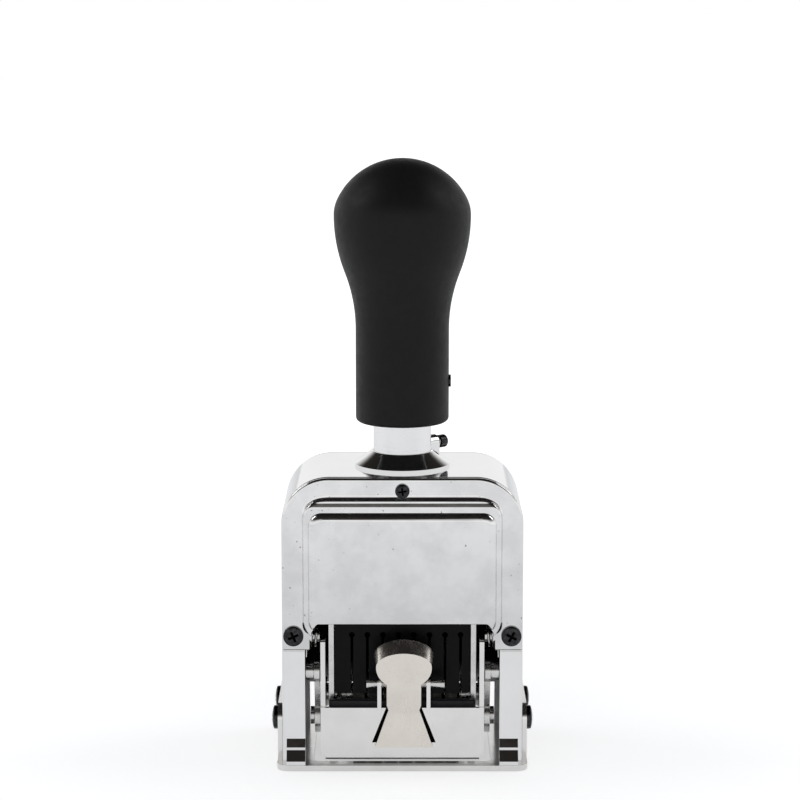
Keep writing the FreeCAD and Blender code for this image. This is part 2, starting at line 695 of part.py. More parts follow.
def collar():
    """Tapered collar that guides the plunger, with a boss for the lock button."""
    bore = TUBE_RADIUS + RUNNING_FIT
    rise = COLLAR_TOP - CASE_TOP - COLLAR_BAND
    points = [V(bore, 0, CASE_TOP), V(COLLAR_RADIUS, 0, CASE_TOP),
              V(COLLAR_RADIUS, 0, CASE_TOP + COLLAR_BAND), V(COLLAR_TOP_RADIUS, 0, COLLAR_TOP),
              V(bore, 0, COLLAR_TOP)]
    sag = (points[2] + points[3]) / 2 - V(rise, 0, rise) * COLLAR_COVE_SHARE
    edges = [Part.LineSegment(points[0], points[1]).toShape(),
             Part.LineSegment(points[1], points[2]).toShape(),
             Part.Arc(points[2], sag, points[3]).toShape(),
             Part.LineSegment(points[3], points[4]).toShape(),
             Part.LineSegment(points[4], points[0]).toShape()]
    body = Part.Face(Part.Wire(edges)).revolve(V(0, 0, 0), AXIS_Z, FULL_TURN)
    boss = rod("X", LOCK_BOSS_RADIUS, TUBE_RADIUS, LOCK_BOSS_END, 0, LOCK_Z)
    rest = box((TUBE_RADIUS, LOCK_BOSS_END), (-LOCK_BOSS_RADIUS, LOCK_BOSS_RADIUS),
               (CASE_TOP, LOCK_Z))
    boss = boss.fuse(rest)
    boss = boss.cut(rod("Z", bore, CASE_TOP - OVERRUN, COLLAR_TOP + OVERRUN, 0, 0))
    boss = boss.cut(rod("X", LOCK_PIN_RADIUS + RUNNING_FIT, 0, LOCK_BOSS_END + OVERRUN, 0,
                        LOCK_Z))
    boss.rotate(V(0, 0, 0), AXIS_Z, LOCK_TURN)
    whole = body.fuse(boss)
    pin_way = rod("X", LOCK_PIN_RADIUS + RUNNING_FIT, 0, LOCK_BOSS_END + OVERRUN, 0, LOCK_Z)
    pin_way.rotate(V(0, 0, 0), AXIS_Z, LOCK_TURN)
    return whole.cut(pin_way).removeSplitter()


def lock_button():
    """Button with a cupped head, whose pin holds the plunger down when it is pushed in."""
    rim = LOCK_BOSS_END + LOCK_TRAVEL
    head = rod("X", LOCK_HEAD_RADIUS, rim, LOCK_HEAD_END, 0, LOCK_Z)
    crown = edges_where(head, lambda b: b.XMin > LOCK_HEAD_END - RUNNING_FIT)
    head = head.makeFillet(LOCK_WIRE, crown)
    cup = LOCK_HEAD_RADIUS - LOCK_HEAD_WALL
    head = head.cut(rod("X", cup, rim, rim + LOCK_TRAVEL + SCREW_GAP, 0, LOCK_Z))
    pin = rod("X", LOCK_PIN_RADIUS, TUBE_RADIUS + SCREW_GAP, LOCK_HEAD_END - LOCK_WIRE, 0,
              LOCK_Z)
    piece = head.fuse(pin).removeSplitter()
    piece.rotate(V(0, 0, 0), AXIS_Z, LOCK_TURN)
    return piece


def lock_spring():
    """Small spring round the lock button's pin, inside its head when it is pushed in."""
    outer = LOCK_HEAD_RADIUS - LOCK_HEAD_WALL - RUNNING_FIT
    inner = outer - LOCK_WIRE
    start = LOCK_BOSS_END
    end = LOCK_BOSS_END + LOCK_TRAVEL
    sleeve = rod("X", outer, start, end, 0, LOCK_Z).cut(rod("X", inner, start, end, 0, LOCK_Z))
    sleeve.rotate(V(0, 0, 0), AXIS_Z, LOCK_TURN)
    return sleeve


def knob():
    """Pear-shaped hand knob with a socket for the plunger tube."""
    diagonal = math.sqrt(1 / 2)
    start = V(KNOB_RADIUS - KNOB_EDGE, 0, KNOB_LOW)
    round_end = V(KNOB_RADIUS, 0, KNOB_LOW + KNOB_EDGE)
    round_mid = V(start.x + KNOB_EDGE * diagonal, 0, round_end.z - KNOB_EDGE * diagonal)
    crest = KNOB_LOW + KNOB_LENGTH
    neck = V(KNOB_RADIUS, 0, KNOB_LOW + KNOB_NECK)
    bulb = V(KNOB_BULB_RADIUS, 0, KNOB_LOW + KNOB_BULB)
    middle = (neck + bulb) / 2
    out = bulb.x - neck.x
    rise = bulb.z - neck.z
    bend = (out * out + rise * rise) / out / 4
    sweep = math.asin(rise / 2 / bend) / 2
    step = V(bend * (1 - math.cos(sweep)), 0, bend * math.sin(sweep))
    inset = KNOB_BULB_RADIUS - KNOB_SHOULDER
    high = crest - bulb.z
    crown = (inset * inset + high * high - KNOB_SHOULDER * KNOB_SHOULDER) / (
        (high - KNOB_SHOULDER) * 2)
    hip = V(inset, 0, bulb.z)
    focus = V(0, 0, crest - crown)
    lean = math.atan2(hip.z - focus.z, hip.x)
    meet = focus + V(math.cos(lean), 0, math.sin(lean)) * crown
    hip_mid = hip + V(math.cos(lean / 2), 0, math.sin(lean / 2)) * KNOB_SHOULDER
    crown_mid = focus + V(math.cos((lean + math.pi / 2) / 2), 0,
                          math.sin((lean + math.pi / 2) / 2)) * crown
    edges = [Part.LineSegment(V(0, 0, KNOB_LOW), start).toShape(),
             Part.Arc(start, round_mid, round_end).toShape(),
             Part.LineSegment(round_end, neck).toShape(),
             Part.Arc(neck, neck + step, middle).toShape(),
             Part.Arc(middle, bulb - step, bulb).toShape(),
             Part.Arc(bulb, hip_mid, meet).toShape(),
             Part.Arc(meet, crown_mid, V(0, 0, crest)).toShape(),
             Part.LineSegment(V(0, 0, crest), V(0, 0, KNOB_LOW)).toShape()]
    body = Part.Face(Part.Wire(edges)).revolve(V(0, 0, 0), AXIS_Z, FULL_TURN)
    socket = rod("Z", TUBE_RADIUS, KNOB_LOW - OVERRUN, KNOB_LOW + KNOB_SOCKET, 0, 0)
    way = rod("X", KNOB_SCREW_RADIUS, 0, KNOB_RADIUS + OVERRUN, 0, KNOB_SCREW_Z)
    return body.cut([socket, way])


def knob_screw():
    """Grub screw that grips the plunger tube."""
    piece = rod("X", KNOB_SCREW_RADIUS, TUBE_RADIUS, KNOB_RADIUS + KNOB_SCREW_PROUD, 0,
                KNOB_SCREW_Z)
    slot = KNOB_SCREW_RADIUS * RECESS_WIDTH_SHARE
    cut = box((KNOB_RADIUS, KNOB_RADIUS + OVERRUN), (-slot, slot),
              (KNOB_SCREW_Z - OVERRUN, KNOB_SCREW_Z + OVERRUN))
    return piece.cut(cut)


def plunger_tube():
    """Bright tube from the crosshead up into the knob, with a hole for the lock pin."""
    top = KNOB_LOW + KNOB_SOCKET
    tube = rod("Z", TUBE_RADIUS, CROSSHEAD_LOW, top, 0, 0)
    tube = tube.cut(rod("Z", TUBE_BORE, CROSSHEAD_LOW, top, 0, 0))
    hole = rod("X", LOCK_PIN_RADIUS + SCREW_GAP, 0, TUBE_RADIUS + OVERRUN, 0, LOCK_Z)
    hole.rotate(V(0, 0, 0), AXIS_Z, LOCK_TURN)
    return tube.cut(hole)


def crosshead():
    """Block that joins the plunger tube to the cage plates."""
    deep = CROSSHEAD_DEPTH / 2
    block = box((-PLATE_INNER, PLATE_INNER), (-deep, deep),
                (CROSSHEAD_LOW, CROSSHEAD_LOW + CROSSHEAD_HEIGHT))
    ends = edges_where(block, lambda b: b.ZLength > RUNNING_FIT)
    block = block.makeFillet(CASE_WALL, ends)
    return block.cut(rod("Z", TUBE_RADIUS, CROSSHEAD_LOW - OVERRUN, CASE_TOP, 0, 0))


def cage_plate(side):
    """Side plate of the cage, slotted for the fixed bridge."""
    top = CROSSHEAD_LOW + CROSSHEAD_HEIGHT
    shape = [(-PLATE_FRONT, PLATE_LOW, PLATE_LOW_ROUND), (PLATE_BACK, PLATE_LOW, PLATE_LOW_ROUND),
             (PLATE_BACK, top, PLATE_TOP_ROUND), (-PLATE_FRONT, top, PLATE_TOP_ROUND)]
    plate = slab("YZ", shape, PLATE_INNER, PLATE_INNER + PLATE_SHEET)
    wide = BRIDGE_DEPTH / 2 + BRIDGE_SLOT_GAP
    slot = [(-wide, BRIDGE_LOW - STROKE - BRIDGE_SLOT_GAP, wide / 2),
            (wide, BRIDGE_LOW - STROKE - BRIDGE_SLOT_GAP, wide / 2),
            (wide, BRIDGE_LOW + BRIDGE_HEIGHT + SCREW_GAP, 0),
            (-wide, BRIDGE_LOW + BRIDGE_HEIGHT + SCREW_GAP, 0)]
    cuts = [slab("YZ", slot, PLATE_INNER - OVERRUN, PLATE_INNER + OVERRUN)]
    end = PLATE_INNER + OVERRUN
    cuts.append(rod("X", AXLE_RADIUS, 0, end, 0, AXLE_Z))
    for y, z in tie_rod_places():
        cuts.append(rod("X", TIE_ROD_RADIUS, 0, end, y, z))
    cuts.append(rod("X", COMB_ROD_RADIUS, 0, end, comb_rod_y(), COMB_ROD_Z))
    plate = plate.cut(cuts)
    return mirrored(plate, AXIS_X) if side < 0 else plate


def tie_rod_places():
    """Where the tie rods go: one behind the wheels, one in front and higher."""
    return (TIE_REAR_Y, AXLE_Z + TIE_REAR_RISE), (TIE_FRONT_Y, AXLE_Z + TIE_FRONT_RISE)


def comb_rod_y():
    """The comb's rod lies against the back of the comb."""
    return -COMB_FACE + COMB_SHEET + COMB_ROD_RADIUS


def tie_rods():
    """Rods that hold the cage plates apart, with a riveted head at each end."""
    end = PLATE_INNER + PLATE_SHEET
    pieces = []
    for y, z in tie_rod_places():
        parts = [rod("X", TIE_ROD_RADIUS, -end, end, y, z)]
        parts.append(rod("X", TIE_HEAD_RADIUS, end, end + TIE_HEAD_HEIGHT, y, z))
        parts.append(rod("X", TIE_HEAD_RADIUS, -end - TIE_HEAD_HEIGHT, -end, y, z))
        pieces.append(fused(parts))
    return Part.makeCompound(pieces)


def comb_rod():
    """Rod that carries the leaf comb."""
    end = PLATE_INNER + PLATE_SHEET
    return rod("X", COMB_ROD_RADIUS, -end, end, comb_rod_y(), COMB_ROD_Z)


def wheel_axle():
    """Axle of the number wheels and of the ink pad frame."""
    end = ARM_OUTER
    return rod("X", AXLE_RADIUS, -end, end, 0, AXLE_Z)


def spring_bridge():
    """Fixed bridge across the case with the guide post of the return spring."""
    half = CASE_WIDTH / 2 - CASE_WALL
    deep = BRIDGE_DEPTH / 2
    bar = box((-half, half), (-deep, deep), (BRIDGE_LOW, BRIDGE_LOW + BRIDGE_HEIGHT))
    post = rod("Z", GUIDE_RADIUS, BRIDGE_LOW + BRIDGE_HEIGHT / 2, GUIDE_TOP, 0, 0)
    pads = []
    for side in (-1, 1):
        span = sorted((side * half, side * (half - BRIDGE_PAD)))
        pads.append(box(span, (-deep - BRIDGE_PAD, deep + BRIDGE_PAD),
                        (BRIDGE_LOW - BRIDGE_PAD, BRIDGE_LOW + BRIDGE_HEIGHT + BRIDGE_PAD)))
    return fused([bar, post] + pads)


def main_spring():
    """Return spring inside the plunger tube, as one sleeve of its outer size."""
    low = BRIDGE_LOW + BRIDGE_HEIGHT
    top = KNOB_LOW + KNOB_SOCKET
    sleeve = rod("Z", SPRING_OUTER, low, top, 0, 0)
    return sleeve.cut(rod("Z", SPRING_BORE, low, top, 0, 0))


def ring_points(count, pattern):
    """Corners round the axle: pattern lists (radius, angle in degrees) for one step."""
    corners = []
    for step in range(count):
        turn = FULL_TURN * step / count
        for radius, angle in pattern:
            bearing = math.radians(turn + angle)
            corners.append((radius * math.sin(bearing), AXLE_Z + radius * math.cos(bearing)))
    return corners


def number_wheel(index):
    """A wheel with ten figure blocks on its rim and a ratchet on its right side."""
    start = WHEEL_START + WHEEL_PITCH * index + (WHEEL_PITCH - WHEEL_RIM - RATCHET_WIDTH) / 2
    blocks = [(WHEEL_ROOT, -BLOCK_ROOT_ANGLE), (WHEEL_RADIUS, -BLOCK_HALF_ANGLE),
              (WHEEL_RADIUS, BLOCK_HALF_ANGLE), (WHEEL_ROOT, BLOCK_ROOT_ANGLE)]
    rim = slab("YZ", ring_points(FIGURES, blocks), start, start + WHEEL_RIM)
    ring = rod("X", WHEEL_RECESS_OUTER, start, start + WHEEL_RECESS_DEPTH, 0, AXLE_Z)
    ring = ring.cut(rod("X", WHEEL_RECESS_INNER, start, start + WHEEL_RIM, 0, AXLE_Z))
    step = FULL_TURN / FIGURES
    teeth = [(RATCHET_ROOT, 0), (RATCHET_RADIUS, step * (1 - RECESS_WIDTH_SHARE))]
    side = start + WHEEL_RIM
    ratchet = slab("YZ", ring_points(FIGURES, teeth), side - WHEEL_RECESS_DEPTH,
                   side + RATCHET_WIDTH)
    bore = rod("X", AXLE_RADIUS + RUNNING_FIT, start - OVERRUN, side + OVERRUN, 0, AXLE_Z)
    return rim.cut(ring).fuse(ratchet).cut(bore)


def retainer_comb():
    """Thin leaf comb in front of the wheels, slotted between them, with an eye per slot."""
    corners = [(-COMB_HALF, COMB_LOW, COMB_EYE), (COMB_HALF, COMB_LOW, COMB_EYE),
               (COMB_HALF, COMB_TOP), (-COMB_HALF, COMB_TOP)]
    leaf = slab("XZ", corners, -COMB_FACE, -COMB_FACE + COMB_SHEET)
    cuts = []
    for index in range(WHEEL_COUNT + 1):
        x = WHEEL_START + WHEEL_PITCH * index
        cuts.append(box((x - COMB_SLOT / 2, x + COMB_SLOT / 2),
                        (-COMB_FACE - OVERRUN, -COMB_FACE + OVERRUN),
                        (COMB_LOW - OVERRUN, COMB_SLOT_TOP)))
        cuts.append(rod("Y", COMB_EYE, -COMB_FACE - OVERRUN, -COMB_FACE + OVERRUN, x,
                        COMB_SLOT_TOP))
    return leaf.cut(cuts)


def feed_limits():
    """Where the feed arm's two cheeks lie along the axle."""
    left = WHEEL_START - FEED_SIDE_GAP - FEED_SHEET
    right = WHEEL_START + WHEEL_PITCH * WHEEL_COUNT + FEED_SIDE_GAP
    return left, right


def at_feed_angle(piece):
    """Turn a piece that was drawn straight behind the axle to the feed arm's place."""
    piece.rotate(V(0, 0, AXLE_Z), AXIS_X, FEED_ANGLE)
    return piece


def feed_arm():
    """Yoke on the axle that carries the pawls across the back of the wheels."""
    left, right = feed_limits()
    half = FEED_BAR_HEIGHT / 2
    pieces = []
    for x in (left, right):
        hub = rod("X", FEED_HUB, x, x + FEED_SHEET, 0, AXLE_Z)
        web = [(0, AXLE_Z - half), (FEED_BAR_OUTER, AXLE_Z - half, PAWL_SHEET),
               (FEED_BAR_OUTER, AXLE_Z + half, PAWL_SHEET), (0, AXLE_Z + half)]
        pieces.append(hub.fuse(slab("YZ", web, x, x + FEED_SHEET)))
    pieces.append(box((left, right + FEED_SHEET), (FEED_BAR_INNER, FEED_BAR_OUTER),
                      (AXLE_Z - half, AXLE_Z + half - PAWL_HEIGHT)))
    yoke = fused(pieces)
    bore = rod("X", AXLE_RADIUS + RUNNING_FIT, left - OVERRUN, right + OVERRUN, 0, AXLE_Z)
    return at_feed_angle(yoke.cut(bore))


def feed_pawl():
    """Row of leaf pawls on the feed arm's bar, each reaching in to one wheel's ratchet."""
    top = AXLE_Z + FEED_BAR_HEIGHT / 2
    low = top - PAWL_HEIGHT
    leaf = [(PAWL_TIP, low), (FEED_BAR_OUTER, low), (FEED_BAR_OUTER, top), (FEED_BAR_INNER, top)]
    leaves = []
    for index in range(WHEEL_COUNT):
        gap = WHEEL_START + WHEEL_PITCH * (index + 1)
        start = gap - (WHEEL_PITCH - WHEEL_RIM) / 2 - PAWL_SHEET / 2 + feed_shift()
        leaves.append(at_feed_angle(slab("YZ", leaf, start, start + PAWL_SHEET)))
    return Part.makeCompound(leaves)


def feed_shift():
    """The free gap between two rims starts where the first rim ends."""
    return (WHEEL_PITCH - WHEEL_RIM - RATCHET_WIDTH) / 2


def repeat_selector():
    """Selector leaf on the axle, set with its finger through the window."""
    hub = rod("X", SELECTOR_HUB, SELECTOR_X, SELECTOR_X + SELECTOR_SHEET, 0, AXLE_Z)
    half = SELECTOR_FINGER / 2
    finger = [(-SELECTOR_REACH, AXLE_Z - half, half / 2), (0, AXLE_Z - half),
              (0, AXLE_Z + half), (-SELECTOR_REACH, AXLE_Z + half, half / 2)]
    leaf = hub.fuse(slab("YZ", finger, SELECTOR_X, SELECTOR_X + SELECTOR_SHEET))
    leaf = leaf.cut(rod("X", AXLE_RADIUS + RUNNING_FIT, SELECTOR_X - OVERRUN, 0, 0, AXLE_Z))
    leaf.rotate(V(0, 0, AXLE_Z), AXIS_X, -SELECTOR_ANGLE)
    return leaf.removeSplitter()


def axle_spacers():
    """Bushes that keep the feed arm, the selector and the wheels in line."""
    left, right = feed_limits()
    spans = [(-PLATE_INNER, SELECTOR_X - SCREW_GAP),
             (SELECTOR_X + SELECTOR_SHEET + SCREW_GAP, left - SCREW_GAP),
             (right + FEED_SHEET + SCREW_GAP, PLATE_INNER)]
    pieces = []
    for low, high in spans:
        bush = rod("X", SPACER_RADIUS, low, high, 0, AXLE_Z)
        pieces.append(bush.cut(rod("X", AXLE_RADIUS, low, high, 0, AXLE_Z)))
    return Part.makeCompound(pieces)


def holder_arm():
    """Right arm of the ink pad frame: hub on the axle, web to the plate and a horn."""
    outer = ARM_OUTER
    front = -ARM_FRONT
    top = ARM_HORN_TOP
    hub = rod("X", ARM_HUB, outer - ARM_SHEET, outer, 0, AXLE_Z)
    web = [(front, HOLDER_LOW + HOLDER_BEND, HOLDER_BEND), (0, AXLE_Z - ARM_HUB),
           (0, AXLE_Z + ARM_HUB), (front + ARM_HORN_WIDTH, AXLE_Z + ARM_HUB, ARM_HUB),
           (front + ARM_HORN_WIDTH, top, ARM_HORN_WIDTH / 2 - PIN_RADIUS / 2),
           (front, top, ARM_HORN_WIDTH / 2 - PIN_RADIUS / 2)]
    arm = hub.fuse(slab("YZ", web, outer - ARM_SHEET, outer))
    return arm.cut(rod("X", AXLE_RADIUS + RUNNING_FIT, 0, outer + OVERRUN, 0, AXLE_Z))


def ink_holder():
    """Ink pad frame: plate with a dovetail notch, ledge, two arms and two latch ears."""
    half = HOLDER_WIDTH / 2
    back = -HOLDER_FACE + HOLDER_SHEET
    corners = [(-half, HOLDER_LOW, HOLDER_CORNER), (half, HOLDER_LOW, HOLDER_CORNER),
               (half, HOLDER_TOP), (-half, HOLDER_TOP)]
    plate = slab("XZ", corners, -HOLDER_FACE, back)
    inner = ARM_INNER
    ledge = box((-inner, inner), (-HOLDER_FACE, back + HOLDER_LEDGE),
                (HOLDER_LOW, HOLDER_LOW + HOLDER_SHEET))
    bend = edges_where(ledge, lambda b: b.YMax < -HOLDER_FACE + RUNNING_FIT
                       and b.ZMax < HOLDER_LOW + RUNNING_FIT)
    ledge = ledge.makeFillet(HOLDER_SHEET - SCREW_GAP, bend)
    plate = plate.cut(box((-half, half), (-HOLDER_FACE, back),
                          (HOLDER_LOW - OVERRUN, HOLDER_LOW + HOLDER_SHEET)))
    arm = holder_arm()
    pieces = [plate, ledge, arm, mirrored(arm, AXIS_X)]
    for x in (LATCH_X - HOLDER_EAR_INNER - HOLDER_EAR_SHEET, LATCH_X + HOLDER_EAR_INNER):
        ear = [(PIN_Y - HOLDER_EAR_HALF, HOLDER_TOP - HOLDER_SHEET),
               (PIN_Y + HOLDER_EAR_HALF, HOLDER_TOP - HOLDER_SHEET),
               (PIN_Y + HOLDER_EAR_HALF, PIN_Z + HOLDER_EAR_HALF, HOLDER_EAR_HALF - SCREW_GAP),
               (PIN_Y - HOLDER_EAR_HALF, PIN_Z + HOLDER_EAR_HALF, HOLDER_EAR_HALF - SCREW_GAP)]
        pieces.append(slab("YZ", ear, x, x + HOLDER_EAR_SHEET))
    frame = fused(pieces)
    notch = [(LATCH_X - NOTCH_TOP_HALF, HOLDER_TOP + OVERRUN),
             (LATCH_X - NOTCH_TOP_HALF, HOLDER_TOP), (LATCH_X - NOTCH_LOW_HALF, NOTCH_LOW),
             (LATCH_X + NOTCH_LOW_HALF, NOTCH_LOW), (LATCH_X + NOTCH_TOP_HALF, HOLDER_TOP),
             (LATCH_X + NOTCH_TOP_HALF, HOLDER_TOP + OVERRUN)]
    frame = frame.cut(slab("XZ", notch, -HOLDER_FACE - OVERRUN, back + RUNNING_FIT))
    return frame.cut(rod("X", PIN_RADIUS, LATCH_X - PIN_REACH_LEFT, LATCH_X + PIN_REACH_RIGHT,
                         PIN_Y, PIN_Z))


def holder_rivets():
    """Rivets on the arms that the links take hold of."""
    pieces = []
    outer = LINK_INNER + LINK_SHEET + SCREW_GAP
    for side in (-1, 1):
        shank = sorted((side * ARM_OUTER, side * (outer + RIVET_HEIGHT)))
        head = sorted((side * outer, side * (outer + RIVET_HEIGHT)))
        stem = rod("X", HOLDER_PIN_RADIUS, *shank, HOLDER_PIN_Y, HOLDER_PIN_Z)
        pieces.append(stem.fuse(rod("X", RIVET_HEAD, *head, HOLDER_PIN_Y, HOLDER_PIN_Z)))
    return Part.makeCompound(pieces)


def ink_tray():
    """Shallow metal tray, open at the top, that holds the felt."""
    half = TRAY_WIDTH / 2
    low = TRAY_LOW
    corners = [(-half, low, FELT_CORNER), (half, low, FELT_CORNER), (half, TRAY_TOP, FELT_CORNER),
               (-half, TRAY_TOP, FELT_CORNER)]
    rim = -FELT_BACK - FELT_MARGIN
    tray = slab("XZ", corners, -TRAY_FACE, rim)
    inner = [(-half + TRAY_WALL, low + TRAY_WALL, TRAY_WALL),
             (half - TRAY_WALL, low + TRAY_WALL, TRAY_WALL),
             (half - TRAY_WALL, TRAY_TOP + OVERRUN), (-half + TRAY_WALL, TRAY_TOP + OVERRUN)]
    return tray.cut(slab("XZ", inner, -TRAY_FACE + TRAY_SHEET, rim + OVERRUN))


def ink_felt():
    """Felt pad in the tray."""
    half = TRAY_WIDTH / 2 - TRAY_WALL
    low = TRAY_LOW + TRAY_WALL
    corners = [(-half, low, TRAY_WALL), (half, low, TRAY_WALL), (half, FELT_TOP, TRAY_WALL),
               (-half, FELT_TOP, TRAY_WALL)]
    return slab("XZ", corners, -TRAY_FACE + TRAY_SHEET, -FELT_BACK)


def latch_outline():
    """Front outline of the thumb latch: fishtail, neck and oval head."""
    x = LATCH_X
    tail = [V(x + LATCH_NECK_HALF, 0, LATCH_NECK_TOP), V(x + LATCH_NECK_HALF, 0, LATCH_NECK_Z),
            V(x + LATCH_WAIST_HALF, 0, LATCH_WAIST_Z), V(x + LATCH_TAIL_HALF, 0, LATCH_TAIL_LOW),
            V(x - LATCH_TAIL_HALF, 0, LATCH_TAIL_LOW), V(x - LATCH_WAIST_HALF, 0, LATCH_WAIST_Z),
            V(x - LATCH_NECK_HALF, 0, LATCH_NECK_Z), V(x - LATCH_NECK_HALF, 0, LATCH_NECK_TOP)]
    edges = [Part.LineSegment(a, b).toShape() for a, b in zip(tail, tail[1:])]
    left = V(x - LATCH_HEAD_HALF, 0, LATCH_HEAD_Z)
    right = V(x + LATCH_HEAD_HALF, 0, LATCH_HEAD_Z)
    edges.append(Part.Arc(tail[-1], V(x - LATCH_BELLY_HALF, 0, LATCH_BELLY_Z), left).toShape())
    oval = Part.Ellipse(right, V(x, 0, LATCH_HEAD_Z + LATCH_HEAD_RISE), V(x, 0, LATCH_HEAD_Z))
    edges.append(Part.Arc(oval, 0, math.pi).toShape())
    edges.append(Part.Arc(right, V(x + LATCH_BELLY_HALF, 0, LATCH_BELLY_Z), tail[0]).toShape())
    return Part.Face(Part.Wire(Part.__sortEdges__(edges)))


def latch_head_shell(inset):
    """Cone between the head's face and the rim that leans up and back behind it."""
    x = LATCH_X
    half = LATCH_HEAD_HALF - inset
    rise = LATCH_HEAD_RISE - inset
    near = -LATCH_HEAD_FACE + inset
    far = -LATCH_HEAD_FACE + LIP_BACK + inset / 2
    face = Part.Ellipse(V(x + half, near, LATCH_HEAD_Z), V(x, near, LATCH_HEAD_Z + rise),
                        V(x, near, LATCH_HEAD_Z))
    centre = LATCH_HEAD_Z + LIP_RISE
    rim = Part.Ellipse(V(x + LIP_HALF - inset, far, centre),
                       V(x, far, centre + LIP_HEIGHT - inset), V(x, far, centre))
    wires = [Part.Wire(face.toShape()), Part.Wire(rim.toShape())]
    return Part.makeLoft(wires, True, True)


def thumb_latch():
    """Bent sheet latch with an oval thumb rest, a knuckle and a fishtail."""
    flat = latch_outline()
    flat.translate(V(0, -HOLDER_FACE - OVERRUN, 0))
    stock = flat.extrude(V(0, OVERRUN * 2, 0))
    tail = -LATCH_TAIL_FACE
    head = -LATCH_HEAD_FACE
    low = LATCH_TAIL_LOW - OVERRUN
    top = LATCH_HEAD_Z + LATCH_HEAD_RISE + OVERRUN
    bend = [(tail, low), (tail, LATCH_BEND_LOW, OVERRUN), (head, LATCH_BEND_TOP, OVERRUN / 2),
            (head, top), (head + LATCH_SHEET, top),
            (head + LATCH_SHEET, LATCH_BEND_TOP, OVERRUN / 2),
            (tail + LATCH_SHEET, LATCH_BEND_LOW, OVERRUN), (tail + LATCH_SHEET, low)]
    strip = slab("YZ", bend, LATCH_X - OVERRUN * 2, LATCH_X + OVERRUN * 2)
    sheet = stock.common(strip)
    lip = latch_head_shell(0).cut(latch_head_shell(LIP_WALL))
    lip = lip.cut(box((-HOLDER_WIDTH, HOLDER_WIDTH), (-HOLDER_WIDTH, 0), (0, LIP_LOW)))
    knuckle = rod("X", KNUCKLE_RADIUS, LATCH_X - KNUCKLE_HALF, LATCH_X + KNUCKLE_HALF, PIN_Y,
                  PIN_Z)
    rib = box((LATCH_X - KNUCKLE_HALF, LATCH_X + KNUCKLE_HALF),
              (-LATCH_HEAD_FACE + LATCH_SHEET / 2, PIN_Y),
              (PIN_Z - KNUCKLE_RADIUS, PIN_Z + KNUCKLE_RADIUS))
    whole = fused([sheet, lip, knuckle, rib])
    return whole.cut(rod("X", PIN_RADIUS + RUNNING_FIT, -HOLDER_WIDTH, HOLDER_WIDTH, PIN_Y,
                         PIN_Z))


def latch_pin():
    """Hinge pin of the thumb latch, flared to a grip at each end."""
    left = LATCH_X - PIN_REACH_LEFT
    right = LATCH_X + PIN_REACH_RIGHT
    bar = rod("X", PIN_RADIUS, left, right, PIN_Y, PIN_Z)
    near = Part.makeCone(PIN_GRIP, PIN_RADIUS, PIN_GRIP_LEFT, V(left, PIN_Y, PIN_Z), AXIS_X)
    far = Part.makeCone(PIN_RADIUS, PIN_GRIP, PIN_GRIP_RIGHT,
                        V(right - PIN_GRIP_RIGHT, PIN_Y, PIN_Z), AXIS_X)
    return fused([bar, near, far])


def coil(radius, wire, pitch, turns, start, leg):
    """A torsion spring along X about the origin: one round wire with a straight leg at each end."""
    arcs = []
    for step in range(round(turns * COIL_ARCS)):
        spots = []
        for share in (0, 1 / 2, 1):
            turn = (step + share) / COIL_ARCS
            bearing = 2 * math.pi * turn
            spots.append(V(start + pitch * turn, radius * math.cos(bearing),
                           radius * math.sin(bearing)))
        arcs.append(Part.Arc(*spots).toShape())
    first = arcs[0].valueAt(arcs[0].FirstParameter)
    last = arcs[-1].valueAt(arcs[-1].LastParameter)
    behind = arcs[0].tangentAt(arcs[0].FirstParameter)
    ahead = arcs[-1].tangentAt(arcs[-1].LastParameter)
    tip = first - behind * leg
    path = Part.Wire([Part.LineSegment(tip, first).toShape()] + arcs
                     + [Part.LineSegment(last, last + ahead * leg).toShape()])
    print("least gap of a torsion spring to itself:", round(least_gap(path, radius, wire), 3))
    ring = Part.Wire(Part.makeCircle(wire / 2, tip, behind))
    return path.makePipeShell([ring], True, False)


def least_gap(path, radius, wire):
    """How close a wound wire comes to itself, half a turn or more along from each point."""
    spots = path.discretize(Number=COIL_CHECKS)
    apart = math.ceil(math.pi * radius * COIL_CHECKS / path.Length)
    return min(spot.distanceToPoint(other) for place, spot in enumerate(spots)
               for other in spots[place + apart:]) - wire


def torsion_springs():
    """Wire springs on their studs beside the links."""
    turn = coil(COIL_RADIUS, COIL_WIRE, COIL_PITCH, COIL_TURNS, 0, COIL_LEG)
    turn.rotate(V(0, 0, 0), AXIS_X, QUARTER_TURN)
    turn.translate(V(COIL_START, COIL_STUD_Y, COIL_STUD_Z))
    return Part.makeCompound([mirrored(turn, AXIS_X), turn])


def link_studs():
    """Studs in the case walls for the links and for the torsion springs."""
    wall = CASE_WIDTH / 2 - CASE_WALL
    pieces = []
    for side in (-1, 1):
        reach = sorted((side * (LINK_INNER + RUNNING_FIT), side * wall))
        shoulder = sorted((side * (LINK_INNER + LINK_SHEET + SCREW_GAP),
                           side * (CASE_WIDTH / 2 - LIP_WIDTH - SCREW_GAP)))
        stud = rod("X", STUD_RADIUS, *reach, STUD_Y, STUD_Z)
        pieces.append(stud.fuse(rod("X", STUD_SHOULDER, *shoulder, STUD_Y, STUD_Z)))
        pieces.append(rod("X", COIL_STUD_RADIUS, *reach, COIL_STUD_Y, COIL_STUD_Z))
    return Part.makeCompound(pieces)


